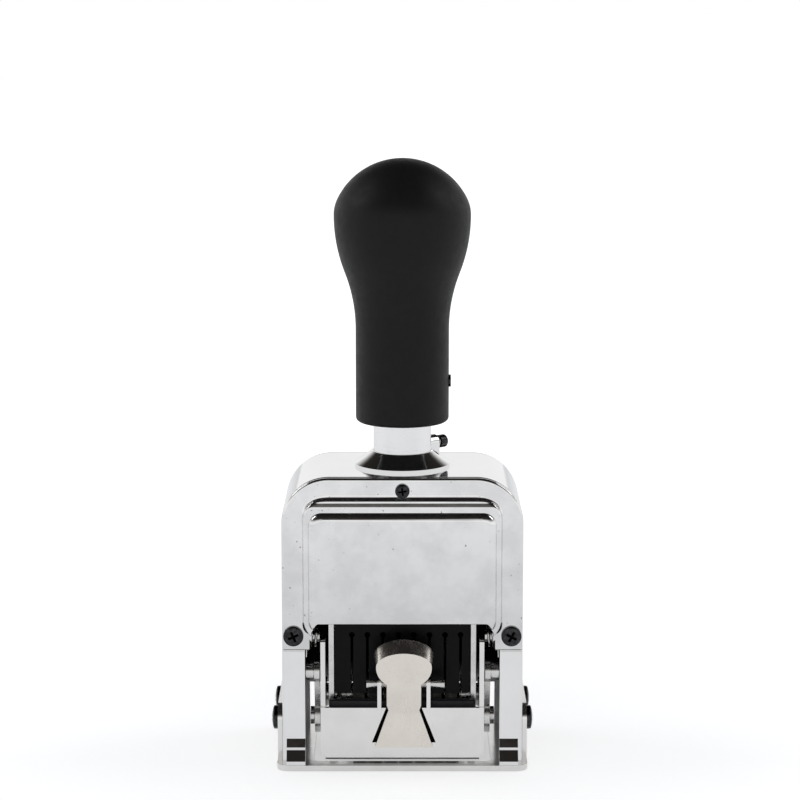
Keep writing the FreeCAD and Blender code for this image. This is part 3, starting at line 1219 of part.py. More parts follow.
def link(side):
    """Link from the case stud to the arm's rivet, with an open eye at the rivet."""
    eye = HOLDER_PIN_RADIUS + LINK_EYE_PLAY
    low = LINK_INNER
    high = LINK_INNER + LINK_SHEET
    across = V(0, HOLDER_PIN_Y - STUD_Y, HOLDER_PIN_Z - STUD_Z)
    span = across.Length
    bar = box((low, high), (-LINK_WIDTH / 2, LINK_WIDTH / 2), (-span, 0))
    tilt = math.degrees(math.atan2(across.y, -across.z))
    bar.rotate(V(0, 0, 0), AXIS_X, tilt)
    bar.translate(V(0, STUD_Y, STUD_Z))
    top = rod("X", LINK_END, low, high, STUD_Y, STUD_Z)
    ring = rod("X", eye + LINK_EYE_WALL, low, high, HOLDER_PIN_Y, HOLDER_PIN_Z)
    piece = fused([bar, top, ring])
    piece = piece.cut(rod("X", eye, low - OVERRUN, high + OVERRUN, HOLDER_PIN_Y, HOLDER_PIN_Z))
    piece = piece.cut(rod("X", STUD_RADIUS + RUNNING_FIT, low - OVERRUN, high + OVERRUN, STUD_Y,
                          STUD_Z))
    return mirrored(piece, AXIS_X) if side < 0 else piece


def save(name, shape):
    """Write one sub-part."""
    shape.exportStep("parts/" + name + ".step")


def build():
    """Make every sub-part and write it."""
    os.makedirs("parts", exist_ok=True)
    made = {
        "case_frame": case_frame(), "front_cover": front_cover(), "rear_cover": rear_cover(),
        "base_plate": base_plate(), "cover_screws_front": cover_screws(-1),
        "cover_screws_rear": cover_screws(1), "side_screws": side_screws(),
        "collar": collar(), "lock_button": lock_button(), "lock_spring": lock_spring(),
        "spring_bridge": spring_bridge(), "link_studs": link_studs(),
        "torsion_springs": torsion_springs(), "knob": knob(), "knob_screw": knob_screw(),
        "plunger_tube": plunger_tube(), "crosshead": crosshead(),
        "cage_plate_left": cage_plate(-1), "cage_plate_right": cage_plate(1),
        "tie_rods": tie_rods(), "comb_rod": comb_rod(), "retainer_comb": retainer_comb(),
        "wheel_axle": wheel_axle(), "axle_spacers": axle_spacers(),
        "main_spring": main_spring(), "feed_arm": feed_arm(), "feed_pawl": feed_pawl(),
        "repeat_selector": repeat_selector(), "ink_holder": ink_holder(),
        "holder_rivets": holder_rivets(), "latch_pin": latch_pin(), "ink_tray": ink_tray(),
        "ink_felt": ink_felt(), "thumb_latch": thumb_latch(),
        "link_left": link(-1), "link_right": link(1),
    }
    for index in range(WHEEL_COUNT):
        made["number_wheel_" + str(index + 1)] = number_wheel(index)
    for name, shape in made.items():
        save(name, shape)


build()
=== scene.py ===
"""Dresses the hand numbering machine.

Adds plated finishes, pressed borders, figures on the wheels, coiled springs and the ink pad.
Metres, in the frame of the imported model: +Z is up and the front faces -Y.
"""
import json
import math

import bmesh
import bpy
from mathutils import Matrix, Vector


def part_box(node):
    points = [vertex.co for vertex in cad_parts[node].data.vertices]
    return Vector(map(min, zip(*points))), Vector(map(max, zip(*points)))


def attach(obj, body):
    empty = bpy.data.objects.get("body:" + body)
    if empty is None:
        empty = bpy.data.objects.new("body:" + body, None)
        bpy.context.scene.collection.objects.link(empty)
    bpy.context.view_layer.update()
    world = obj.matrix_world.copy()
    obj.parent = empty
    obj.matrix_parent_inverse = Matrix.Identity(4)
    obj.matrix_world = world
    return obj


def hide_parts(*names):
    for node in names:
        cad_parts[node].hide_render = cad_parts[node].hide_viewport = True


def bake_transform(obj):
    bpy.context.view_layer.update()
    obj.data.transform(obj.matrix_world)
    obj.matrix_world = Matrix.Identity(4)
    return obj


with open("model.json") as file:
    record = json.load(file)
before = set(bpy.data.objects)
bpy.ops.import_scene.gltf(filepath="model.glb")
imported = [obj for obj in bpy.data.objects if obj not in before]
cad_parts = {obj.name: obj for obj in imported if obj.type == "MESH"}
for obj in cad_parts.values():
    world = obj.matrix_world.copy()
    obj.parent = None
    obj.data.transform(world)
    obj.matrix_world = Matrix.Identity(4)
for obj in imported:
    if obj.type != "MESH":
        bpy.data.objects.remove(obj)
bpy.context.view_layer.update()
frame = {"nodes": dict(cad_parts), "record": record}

bl_info = {
    "name": "Numbering machine dresser",
    "version": (1, 0, 0),
    "blender": (4, 5, 0),
    "location": "View3D > Sidebar > Machine",
    "description": "Finishes, type figures, springs and ink pad of a numbering machine",
    "category": "Object",
}

MM = 0.001
AXIS_X = Vector((1, 0, 0))
AXIS_Z = Vector((0, 0, 1))
# Corners that lie closer than this are joined
MERGE = 0.000001
# Edges that bend more than these angles stay sharp, on solids and on the scene's own pieces
CREASE = math.radians(32)
SMOOTH = math.radians(35)
# How far above the covers' lower edge their inside turns from bare plate to painted shade
LEG_FADE = 0.006
DRESSED = "dressed_"
WHEELS = sorted(name for name in frame["nodes"] if name.startswith("number_wheel"))


def middle(node):
    """The middle of a CAD node's box."""
    low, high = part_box(node)
    return (low + high) / 2


def span(node):
    """The size of a CAD node's box."""
    low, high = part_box(node)
    return high - low


# Settings that a user would change

class FinishSettings(bpy.types.PropertyGroup):
    """Colours and gloss of the finishes"""
    chrome: bpy.props.FloatVectorProperty(
        name="Chrome", description="Colour that the bright chrome reflects", subtype="COLOR",
        size=3, min=0, max=1, default=(0.82, 0.82, 0.825))
    cover: bpy.props.FloatVectorProperty(
        name="Cover chrome", description="Colour that the covers reflect", subtype="COLOR",
        size=3, min=0, max=1, default=(0.82, 0.82, 0.823))
    nickel: bpy.props.FloatVectorProperty(
        name="Nickel", description="Colour of nickel plated sheet", subtype="COLOR",
        size=3, min=0, max=1, default=(0.79, 0.785, 0.775))
    warm: bpy.props.FloatVectorProperty(
        name="Warm nickel", description="Colour of the thumb latch", subtype="COLOR",
        size=3, min=0, max=1, default=(0.78, 0.735, 0.68))
    steel: bpy.props.FloatVectorProperty(
        name="Zinc steel", description="Colour of plated steel pieces", subtype="COLOR",
        size=3, min=0, max=1, default=(0.68, 0.68, 0.67))
    # Also the base of the painted shade in the screws' recesses and on the tray's front
    dark_steel: bpy.props.FloatVectorProperty(
        name="Black steel", description="Colour of blackened spring steel", subtype="COLOR",
        size=3, min=0, max=1, default=(0.003, 0.003, 0.0032))
    wheel: bpy.props.FloatVectorProperty(
        name="Wheel steel", description="Colour of the inked wheels", subtype="COLOR",
        size=3, min=0, max=1, default=(0.03, 0.028, 0.026))
    plastic: bpy.props.FloatVectorProperty(
        name="Knob", description="Colour of the plastic knob", subtype="COLOR",
        size=3, min=0, max=1, default=(0.007, 0.007, 0.0073))
    # Colour of the painted shade inside the case
    inside: bpy.props.FloatVectorProperty(
        name="Inside", description="Colour of the oiled inside of the case", subtype="COLOR",
        size=3, min=0, max=1, default=(0.007, 0.0065, 0.006))
    felt: bpy.props.FloatVectorProperty(
        name="Felt", description="Colour of the inked felt", subtype="COLOR",
        size=3, min=0, max=1, default=(0.006, 0.006, 0.0075))


class BorderSettings(bpy.types.PropertyGroup):
    """Pressed border round the field of each cover"""
    face: bpy.props.FloatProperty(
        name="Face", description="Distance of the covers' faces from the middle", unit="LENGTH",
        default=18.0 * MM)
    raised: bpy.props.FloatProperty(
        name="Raised", description="How far the ledge stands off those faces", unit="LENGTH",
        default=1.5 * MM)
    crest: bpy.props.FloatProperty(
        name="Crest", description="Height of the border's upper edge", unit="LENGTH",
        default=70.8 * MM)
    roll: bpy.props.FloatProperty(
        name="Roll", description="Rounding under the upper edge", unit="LENGTH", default=0.7 * MM)
    bend: bpy.props.FloatProperty(
        name="Bend", description="Height at which the ledge starts to lean back",
        unit="LENGTH", default=69.05 * MM)
    lean: bpy.props.FloatProperty(
        name="Lean", description="How far the ledge leans back", subtype="ANGLE",
        default=math.radians(22))
    soft: bpy.props.FloatProperty(
        name="Softness", description="Half the length of the ledge's bend", unit="LENGTH",
        default=0.2 * MM)
    foot: bpy.props.FloatProperty(
        name="Foot", description="Height of the hollow above the upper edge", unit="LENGTH",
        default=1.4 * MM)
    foot_lean: bpy.props.FloatProperty(
        name="Foot lean", description="Slope at the foot of that hollow", subtype="ANGLE",
        default=math.radians(30))
    inner: bpy.props.FloatProperty(
        name="Inner end", description="Where the hollow starts to fade, from the middle",
        unit="LENGTH", default=18.5 * MM)
    outer: bpy.props.FloatProperty(
        name="Outer end", description="Where the hollow ends", unit="LENGTH", default=22.5 * MM)
    cut: bpy.props.FloatProperty(
        name="Cut", description="Distance between the cuts", unit="LENGTH", default=0.1 * MM)


class LatchSettings(bpy.types.PropertyGroup):
    """Dovetail foot of the thumb latch"""
    spread: bpy.props.FloatProperty(
        name="Spread", description="How much wider each side of the latch's foot is pressed",
        unit="LENGTH", default=0.45 * MM)
    neck: bpy.props.FloatProperty(
        name="Neck", description="Height of the foot's neck", unit="LENGTH", default=16.3 * MM)


class FigureSettings(bpy.types.PropertyGroup):
    """Raised type on the number wheels"""
    height: bpy.props.FloatProperty(
        name="Height", description="Height of a figure", unit="LENGTH", default=4.6 * MM)
    width_share: bpy.props.FloatProperty(
        name="Narrowing", description="Width of a figure against the font's own", default=0.72)
    relief: bpy.props.FloatProperty(
        name="Relief", description="How far a figure stands off its block", unit="LENGTH",
        default=0.3 * MM)
    weight: bpy.props.FloatProperty(
        name="Weight", description="How far strokes are fattened", unit="LENGTH",
        default=0.06 * MM)


class SpringSettings(bpy.types.PropertyGroup):
    """Coiled springs"""
    wire: bpy.props.FloatProperty(
        name="Wire", description="Radius of the return spring's wire", unit="LENGTH",
        default=0.65 * MM)
    pitch: bpy.props.FloatProperty(
        name="Pitch", description="Distance from coil to coil", unit="LENGTH", default=2.5 * MM)
    small_wire: bpy.props.FloatProperty(
        name="Small wire", description="Radius of the lock spring's wire", unit="LENGTH",
        default=0.12 * MM)
    small_pitch: bpy.props.FloatProperty(
        name="Small pitch", description="Distance from coil to coil", unit="LENGTH",
        default=0.45 * MM)
    latch_wire: bpy.props.FloatProperty(
        name="Latch wire", description="Radius of the latch springs' wire", unit="LENGTH",
        default=0.16 * MM)
    latch_turns: bpy.props.FloatProperty(
        name="Latch turns", description="Turns of each latch spring", default=2.75)
    pin_reach: bpy.props.FloatProperty(
        name="Pin reach", description="How near the hinge pin the latch springs look for seats",
        unit="LENGTH", default=1.7 * MM)
    pin_radius: bpy.props.FloatProperty(
        name="Pin radius", description="Radius of the hinge pin", unit="LENGTH",
        default=0.8 * MM)
    sides: bpy.props.IntProperty(name="Sides", description="Sides of a wire", default=10)
    steps: bpy.props.IntProperty(name="Steps", description="Steps in each coil", default=28)


class PadSettings(bpy.types.PropertyGroup):
    """Felt ink pad"""
    edge: bpy.props.FloatProperty(
        name="Edge", description="Rounding of the pad's edge", unit="LENGTH", default=0.35 * MM)
    swell: bpy.props.FloatProperty(
        name="Swell", description="How far the pad's faces dip and rise", unit="LENGTH",
        default=0.06 * MM)
    cuts: bpy.props.IntProperty(name="Cuts", description="Cuts along the pad", default=22)


class StageSettings(bpy.types.PropertyGroup):
    """Floor, lamps and camera"""
    floor: bpy.props.FloatProperty(
        name="Floor", description="Half the floor's width", unit="LENGTH", default=4.0)
    distance: bpy.props.FloatProperty(
        name="Distance", description="Camera's distance in front of the machine",
        unit="LENGTH", default=0.6425)
    aside: bpy.props.FloatProperty(
        name="Aside", description="Camera's place from side to side", unit="LENGTH",
        default=-0.0006)
    rise: bpy.props.FloatProperty(
        name="Height", description="Camera's height", unit="LENGTH", default=0.2038)
    pitch: bpy.props.FloatProperty(
        name="Pitch", description="Camera's tilt from straight down", subtype="ANGLE",
        default=math.radians(80.25))
    lens: bpy.props.FloatProperty(
        name="Lens", description="Focal length on a 36 mm sensor", default=113.2)
    key: bpy.props.FloatProperty(
        name="Side lamps", description="Power of each side lamp", unit="POWER", default=1.6)
    fill: bpy.props.FloatProperty(
        name="Front lamp", description="Power of the front lamp", unit="POWER", default=1.0)


# Node tree helpers

class Recipe:
    """Builds one material's nodes."""

    # Places of the colour sockets on a mix node
    FIRST = 6
    SECOND = 7
    BLEND = 2

    def __init__(self, name):
        self.material = bpy.data.materials.new(DRESSED + name)
        self.material.use_nodes = True
        self.tree = self.material.node_tree
        self.tree.nodes.clear()
        self.out = self.add("ShaderNodeOutputMaterial")
        self.place = self.add("ShaderNodeTexCoord").outputs["Object"]

    def add(self, kind, **sockets):
        """A node with the given inputs: a value is set, an output is linked."""
        made = self.tree.nodes.new(kind)
        for name, value in sockets.items():
            socket = made.inputs[name.replace("_", " ")]
            if isinstance(value, bpy.types.NodeSocket):
                self.tree.links.new(value, socket)
            else:
                socket.default_value = value
        return made

    def stretched(self, scale, turn=(0, 0, 0)):
        """Object coordinates stretched along an axis, for brushed grain."""
        return self.add("ShaderNodeMapping", Vector=self.place, Scale=scale,
                        Rotation=turn).outputs["Vector"]

    def noise(self, scale, detail=2.0, rough=0.5, vector=None):
        """Grey noise with this many features in a metre."""
        return self.add("ShaderNodeTexNoise", Vector=vector or self.place, Scale=scale,
                        Detail=detail, Roughness=rough).outputs["Fac"]

    def ranged(self, value, low, high, start=0.3, end=0.7):
        """Maps a grey pattern from start..end to low..high."""
        made = self.add("ShaderNodeMapRange", Value=value)
        made.inputs["From Min"].default_value = start
        made.inputs["From Max"].default_value = end
        made.inputs["To Min"].default_value = low
        made.inputs["To Max"].default_value = high
        return made.outputs["Result"]

    def mixed(self, share, first, second):
        """A colour between two, by a grey pattern."""
        made = self.tree.nodes.new("ShaderNodeMix")
        made.data_type = "RGBA"
        self.tree.links.new(share, made.inputs["Factor"])
        for index, colour in ((self.FIRST, first), (self.SECOND, second)):
            socket = made.inputs[index]
            if isinstance(colour, bpy.types.NodeSocket):
                self.tree.links.new(colour, socket)
            else:
                socket.default_value = colour
        return made.outputs[self.BLEND]

    def bumps(self, *layers):
        """Bump nodes in a chain, each with a pattern and a depth in metres."""
        normal = None
        for pattern, depth in layers:
            made = self.add("ShaderNodeBump", Height=pattern, Distance=depth, Strength=1.0)
            if normal:
                self.tree.links.new(normal, made.inputs["Normal"])
            normal = made.outputs["Normal"]
        return normal

    def shaded(self, **sockets):
        """Closes the material with a principled shader."""
        shader = self.add("ShaderNodeBsdfPrincipled", **sockets)
        self.tree.links.new(shader.outputs[0], self.out.inputs["Surface"])
        return self.material


def tinted(colour, share):
    """A colour made darker or lighter, with an alpha."""
    return (*(min(1.0, part * share) for part in colour), 1.0)


# Finishes, one for each material slot of the record

def plated(name, colour, gloss, wave, haze):
    """Electroplate: soft cloudy tone, orange peel, and smudges that dull the gloss."""
    mix = Recipe(name)
    cloud = mix.ranged(mix.noise(70, 4, 0.6), 0, 1)
    tone = mix.mixed(cloud, tinted(colour, 0.965), tinted(colour, 1.02))
    smudge = mix.ranged(mix.noise(240, 5, 0.65), gloss, gloss + haze)
    normal = mix.bumps((mix.noise(420, 1.5, 0.4), wave), (mix.noise(5200, 2, 0.6), wave * 0.05))
    return mix.shaded(Base_Color=tone, Metallic=1.0, Roughness=smudge, Normal=normal)


def case_chrome(look):
    """Bright chrome over a cast frame."""
    return plated("case_chrome", look.chrome, 0.05, 0.000012, 0.05)


def cover_chrome(look):
    """Chrome over pressed sheet: clouded, pitted, with painted shade that darkens it towards the
    lower edge.
    """
    mix = Recipe("cover_chrome")
    rise = mix.add("ShaderNodeSeparateXYZ", Vector=mix.place).outputs["Z"]
    cloud = mix.ranged(mix.noise(130, 5, 0.6), 0, 1, 0.38, 0.62)
    # Painted shade: a darker copy of the chrome low down blends into a lighter copy higher up
    low = mix.mixed(cloud, tinted(look.cover, 0.80), tinted(look.cover, 0.90))
    high = mix.mixed(cloud, tinted(look.cover, 0.97), tinted(look.cover, 1.08))
    tone = mix.mixed(mix.ranged(rise, 0, 1, 0.04, 0.07), low, high)
    pits = mix.ranged(mix.noise(1100, 2, 0.5), 0, 1, 0.715, 0.74)
    tone = mix.mixed(pits, tone, tinted(look.cover, 0.35))
    gloss = mix.ranged(mix.noise(240, 5, 0.65), 0.09, 0.17)
    normal = mix.bumps((mix.noise(420, 1.5, 0.4), 0.00002), (mix.noise(5200, 2, 0.6), 0.000001))
    return mix.shaded(Base_Color=tone, Metallic=1.0, Roughness=gloss, Normal=normal)


def nickel_sheet(look):
    """Nickel plated sheet with fine rolling lines."""
    mix = Recipe("nickel_sheet")
    lines = mix.noise(90, 3, 0.6, mix.stretched((1, 30, 30)))
    cloud = mix.ranged(mix.noise(130, 4, 0.6), 0, 1)
    tone = mix.mixed(cloud, tinted(look.nickel, 0.95), tinted(look.nickel, 1.03))
    gloss = mix.ranged(mix.noise(300, 5, 0.6), 0.12, 0.22)
    normal = mix.bumps((lines, 0.0000025), (mix.noise(600, 1, 0.4), 0.000008))
    return mix.shaded(Base_Color=tone, Metallic=1.0, Roughness=gloss, Normal=normal)


def warm_nickel(look):
    """Warm satin nickel of the thumb latch, with handling marks."""
    mix = Recipe("warm_nickel")
    cloud = mix.ranged(mix.noise(160, 4, 0.6), 0, 1)
    tone = mix.mixed(cloud, tinted(look.warm, 0.95), tinted(look.warm, 1.03))
    marks = mix.noise(260, 4, 0.7)
    gloss = mix.ranged(marks, 0.2, 0.32)
    normal = mix.bumps((mix.noise(420, 2, 0.5), 0.000008))
    return mix.shaded(Base_Color=tone, Metallic=1.0, Roughness=gloss, Normal=normal)


def plunger_chrome(look):
    """Drawn tube with fine rings and specks where the collar rubs it."""
    mix = Recipe("plunger_chrome")
    rings = mix.noise(240, 3, 0.7, mix.stretched((0.6, 0.6, 9)))
    specks = mix.ranged(mix.noise(900, 3, 0.75), 0, 1, 0.66, 0.72)
    tone = mix.mixed(specks, tinted(look.chrome, 1.09), tinted(look.chrome, 0.8))
    gloss = mix.ranged(rings, 0.16, 0.26)
    normal = mix.bumps((rings, 0.000004), (mix.noise(700, 2, 0.5), 0.000008))
    return mix.shaded(Base_Color=tone, Metallic=1.0, Roughness=gloss, Normal=normal)


def bright_steel(look):
    """Zinc plated steel, slightly uneven."""
    mix = Recipe("bright_steel")
    cloud = mix.ranged(mix.noise(350, 4, 0.6), 0, 1)
    tone = mix.mixed(cloud, tinted(look.steel, 0.9), tinted(look.steel, 1.06))
    gloss = mix.ranged(mix.noise(800, 4, 0.6), 0.18, 0.34)
    normal = mix.bumps((mix.noise(900, 3, 0.5), 0.00001))
    return mix.shaded(Base_Color=tone, Metallic=1.0, Roughness=gloss, Normal=normal)


def blued_steel(look):
    """Black oxide on spring steel under an oil film."""
    mix = Recipe("blued_steel")
    worn = mix.ranged(mix.noise(420, 5, 0.7), 0, 1, 0.52, 0.75)
    tone = mix.mixed(worn, tinted(look.dark_steel, 1.0), tinted(look.dark_steel, 1.8))
    gloss = mix.ranged(mix.noise(260, 4, 0.6), 0.3, 0.45)
    normal = mix.bumps((mix.noise(500, 2, 0.5), 0.00001))
    return mix.shaded(Base_Color=tone, Metallic=0.1, Roughness=gloss, Normal=normal,
                      Specular_IOR_Level=0.12)


def wheel_steel(look):
    """Dark wheel steel with dried ink and bright worn patches."""
    mix = Recipe("wheel_steel")
    worn = mix.ranged(mix.noise(600, 5, 0.7), 0, 1, 0.5, 0.72)
    tone = mix.mixed(worn, tinted(look.wheel, 0.6), tinted(look.wheel, 2.6))
    gloss = mix.ranged(mix.noise(900, 4, 0.6), 0.28, 0.5)
    normal = mix.bumps((mix.noise(1500, 3, 0.6), 0.00001))
    return mix.shaded(Base_Color=tone, Metallic=0.6, Roughness=gloss, Normal=normal,
                      Specular_IOR_Level=0.2)


def spring_wire(look):
    """Hard drawn wire, slightly uneven."""
    mix = Recipe("spring_wire")
    cloud = mix.ranged(mix.noise(700, 3, 0.6), 0, 1)
    tone = mix.mixed(cloud, tinted(look.steel, 0.86), tinted(look.steel, 1.08))
    gloss = mix.ranged(mix.noise(1200, 3, 0.6), 0.16, 0.28)
    normal = mix.bumps((mix.noise(2600, 2, 0.5), 0.000006))
    return mix.shaded(Base_Color=tone, Metallic=1.0, Roughness=gloss, Normal=normal)


def black_screw(look):
    """Black oxide screws, oiled, with grey wear on their domes."""
    mix = Recipe("black_screw")
    worn = mix.ranged(mix.noise(1100, 5, 0.7), 0, 1, 0.45, 0.7)
    tone = mix.mixed(worn, tinted(look.dark_steel, 9.0), tinted(look.dark_steel, 22.0))
    gloss = mix.ranged(mix.noise(700, 3, 0.6), 0.12, 0.24)
    normal = mix.bumps((mix.noise(1800, 2, 0.5), 0.000006))
    return mix.shaded(Base_Color=tone, Metallic=1.0, Roughness=gloss, Normal=normal)


def sooty_recess(look):
    """Painted shade in the screws' recesses and on the front of the ink tray."""
    mix = Recipe("sooty_recess")
    cloud = mix.ranged(mix.noise(1500, 3, 0.6), 0, 1)
    tone = mix.mixed(cloud, tinted(look.dark_steel, 0.5), tinted(look.dark_steel, 1.2))
    gloss = mix.ranged(mix.noise(900, 3, 0.6), 0.6, 0.85)
    normal = mix.bumps((mix.noise(2400, 3, 0.6), 0.00001))
    return mix.shaded(Base_Color=tone, Metallic=0.0, Roughness=gloss, Normal=normal,
                      Specular_IOR_Level=0.03)


def oiled_inside(look):
    """Painted shade on the inside of the case and its covers, cloudy, fading to bare plate at the
    legs.
    """
    mix = Recipe("oiled_inside")
    rise = mix.add("ShaderNodeSeparateXYZ", Vector=mix.place).outputs["Z"]
    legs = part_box("rear_cover")[0].z
    fade = (legs, legs + LEG_FADE)
    cloud = mix.ranged(mix.noise(260, 5, 0.7), 0, 1)
    # Painted shade: a near-black tone above the legs, bare plate below
    oiled = mix.mixed(cloud, tinted(look.inside, 0.7), tinted(look.inside, 1.5))
    tone = mix.mixed(mix.ranged(rise, 0, 1, *fade), tinted(look.chrome, 1.0), oiled)
    metal = mix.ranged(rise, 0.3, 0, *fade)
    gloss = mix.ranged(rise, 0.25, 0.55, *fade)
    normal = mix.bumps((mix.noise(900, 3, 0.6), 0.000008))
    return mix.shaded(Base_Color=tone, Metallic=metal, Roughness=gloss, Normal=normal,
                      Specular_IOR_Level=0.1)


def knob_plastic(look):
    """Satin moulded plastic with a fine spark texture."""
    mix = Recipe("knob_plastic")
    cloud = mix.ranged(mix.noise(90, 3, 0.6), 0, 1)
    tone = mix.mixed(cloud, tinted(look.plastic, 0.9), tinted(look.plastic, 1.2))
    gloss = mix.ranged(mix.noise(400, 5, 0.7), 0.42, 0.56)
    normal = mix.bumps((mix.noise(4200, 2, 0.6), 0.00001), (mix.noise(300, 2, 0.5), 0.00001))
    return mix.shaded(Base_Color=tone, Metallic=0.0, Roughness=gloss, Normal=normal,
                      Specular_IOR_Level=0.2)


def ink_felt(look):
    """Pressed wool felt, wet with ink."""
    mix = Recipe("ink_felt")
    fibres = mix.noise(2400, 6, 0.8)
    tone = mix.mixed(mix.ranged(fibres, 0, 1), tinted(look.felt, 0.6), tinted(look.felt, 2.2))
    gloss = mix.ranged(mix.noise(500, 4, 0.6), 0.3, 0.6)
    normal = mix.bumps((fibres, 0.00008), (mix.noise(700, 3, 0.6), 0.00006))
    return mix.shaded(Base_Color=tone, Metallic=0.0, Roughness=gloss, Normal=normal,
                      Sheen_Weight=0.06, Sheen_Roughness=0.5, Specular_IOR_Level=0.3)


FINISHES = {make.__name__: make for make in (
    case_chrome, cover_chrome, nickel_sheet, warm_nickel, plunger_chrome, bright_steel,
    blued_steel, wheel_steel, spring_wire, black_screw, knob_plastic, ink_felt, oiled_inside,
    sooty_recess)}


def finish_of(slot):
    """The dressed material of a slot, made on first use."""
    found = bpy.data.materials.get(DRESSED + slot)
    return found or FINISHES[slot](bpy.context.scene.machine_finish)


# Mesh helpers

def merged(node):
    """A bmesh of a CAD node, its loose triangles joined."""
    mesh = bmesh.new()
    mesh.from_mesh(frame["nodes"][node].data)
    bmesh.ops.remove_doubles(mesh, verts=mesh.verts[:], dist=MERGE)
    return mesh


def settle(name, mesh, slot, body, smooth=SMOOTH):
    """Turns a bmesh into a finished piece that rides on a body."""
    bmesh.ops.recalc_face_normals(mesh, faces=mesh.faces)
    data = bpy.data.meshes.new(name)
    mesh.to_mesh(data)
    mesh.free()
    piece = bpy.data.objects.new(name, data)
    bpy.context.scene.collection.objects.link(piece)
    data.materials.append(finish_of(slot))
    data.shade_smooth()
    data.set_sharp_from_angle(angle=smooth)
    if body:
        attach(piece, body)
    return piece


def rounded(piece, crease):
    """Joins loose triangles and shades flat faces flat and fillets round."""
    join = piece.modifiers.new("join", "WELD")
    join.merge_threshold = MERGE
    part = piece.modifiers.new("part", "EDGE_SPLIT")
    part.split_angle = crease
    shade = piece.modifiers.new("shade", "WEIGHTED_NORMAL")
    shade.mode = "FACE_AREA"
    shade.weight = 50


def coiled(mesh, base, axis, radius, wire, rises, sides, steps):
    """One unbroken wire wound round an axis: each rise gives turns and the climb in one turn."""
    side = axis.orthogonal().normalized()
    facing = Matrix.Translation(base + side * radius) @ side.cross(axis).to_track_quat(
        "Z", "Y").to_matrix().to_4x4()
    ring = bmesh.ops.create_circle(mesh, segments=sides, radius=wire, cap_ends=True, matrix=facing)
    moving = list(ring["verts"]) + [e for v in ring["verts"] for e in v.link_edges]
    moving = list(dict.fromkeys(moving)) + [f for v in ring["verts"][:1] for f in v.link_faces]
    for turns, climb in rises:
        count = max(1, round(turns * steps))
        made = bmesh.ops.spin(mesh, geom=moving, cent=base, axis=axis, dvec=axis * climb / steps,
                              angle=math.tau * turns, steps=count, use_merge=False,
                              use_normal_flip=False, use_duplicate=False)
        moving = made["geom_last"]


# Operators, one for each piece or group of like pieces

class MACHINE_OT_frame_finishes(bpy.types.Operator):
    """Give every piece of the frame its plated, blackened or moulded finish, and paint shade
    inside the case, in the screws' recesses and on the ink tray's front
    """
    bl_idname = "machine.frame_finishes"
    bl_label = "Frame finishes"

    CAST_CREASE = math.radians(24)
    LINED = ("case_frame", "front_cover", "rear_cover")
    # The axis that each node's screws lie along: 0 is X and 1 is Y
    SCREWS = {"cover_screws_front": 1, "cover_screws_rear": 1, "side_screws": 0}
    # A recess reaches this share of the head's radius out and in
    RECESS_REACH = 0.8
    RECESS_DEPTH = 0.5
    # How squarely the recess's floor faces out, and how little its walls do
    FLAT = 0.99999
    UPRIGHT = 0.05
    # How squarely the tray's faces that get painted shade look to the front
    TRAY_FACING = 0.9
    # Faces get the painted shade of the inside that look inwards by this much and lie farther from
    # the case's middle than its core, sideways or upwards, or than its shell, to the front or rear
    FACING = 0.3
    CORE = 20 * MM
    SHELL = 12 * MM

    def execute(self, context):
        slots = {row["node"]: row["material_slot"] for row in frame["record"]["subparts"]}
        for name, node in frame["nodes"].items():
            node.data.materials.clear()
            node.data.materials.append(finish_of(slots[name]))
            for face in node.data.polygons:
                face.use_smooth = True
            rounded(node, self.CAST_CREASE if name == "case_frame" else CREASE)
        for name in self.LINED:
            self.lined(frame["nodes"][name])
        for name, along in self.SCREWS.items():
            self.sooted(frame["nodes"][name], along)
        # The tray's front faces get painted shade, which darkens the slit beside the latch's foot
        tray = frame["nodes"]["ink_tray"].data
        tray.materials.append(finish_of("sooty_recess"))
        for face in tray.polygons:
            face.material_index = int(face.normal.y < -self.TRAY_FACING)
        return {"FINISHED"}

    def sooted(self, node, along):
        """Paints shade on the flat floor and the walls of each screw's cross recess."""
        node.data.materials.append(finish_of("sooty_recess"))
        mesh = bmesh.new()
        mesh.from_mesh(node.data)
        indices = mesh.faces.layers.int.new("source")
        for face in mesh.faces:
            face[indices] = face.index
        bmesh.ops.remove_doubles(mesh, verts=mesh.verts[:], dist=MERGE)
        left = set(mesh.faces)
        while left:
            island = [left.pop()]
            for face in island:
                near = {other for edge in face.edges for other in edge.link_faces} & left
                island += near
                left -= near
            self.recess(node, island, along, indices)
        mesh.free()

    def recess(self, node, island, along, indices):
        """Marks the recess of one screw, whose axis is X or Y."""
        spots = [vertex.co for face in island for vertex in face.verts]
        outer = math.copysign(1, sum(spot[along] for spot in spots))
        across = [axis for axis in range(3) if axis != along]
        heart = [(min(spot[axis] for spot in spots) + max(spot[axis] for spot in spots)) / 2
                 for axis in across]
        head = max(math.dist([spot[axis] for axis in across], heart) for spot in spots)
        tip = max(spot[along] * outer for spot in spots)
        for face in island:
            centre = face.calc_center_median()
            near = math.dist([centre[axis] for axis in across], heart) < head * self.RECESS_REACH
            facing = face.normal[along] * outer
            high = tip - centre[along] * outer < head * self.RECESS_DEPTH
            if near and high and (facing > self.FLAT or abs(facing) < self.UPRIGHT):
                node.data.polygons[face[indices]].material_index = 1

    def lined(self, node):
        """Gives the faces that look into the case the painted shade of the inside."""
        node.data.materials.append(finish_of("oiled_inside"))
        heart = middle("case_frame")
        for face in node.data.polygons:
            away = face.center - heart
            inward = max(-face.normal.x * math.copysign(1, away.x) * (abs(away.x) > self.CORE),
                         -face.normal.y * math.copysign(1, away.y) * (abs(away.y) > self.SHELL),
                         -face.normal.z * (away.z > self.CORE))
            if inward > self.FACING:
                face.material_index = 1


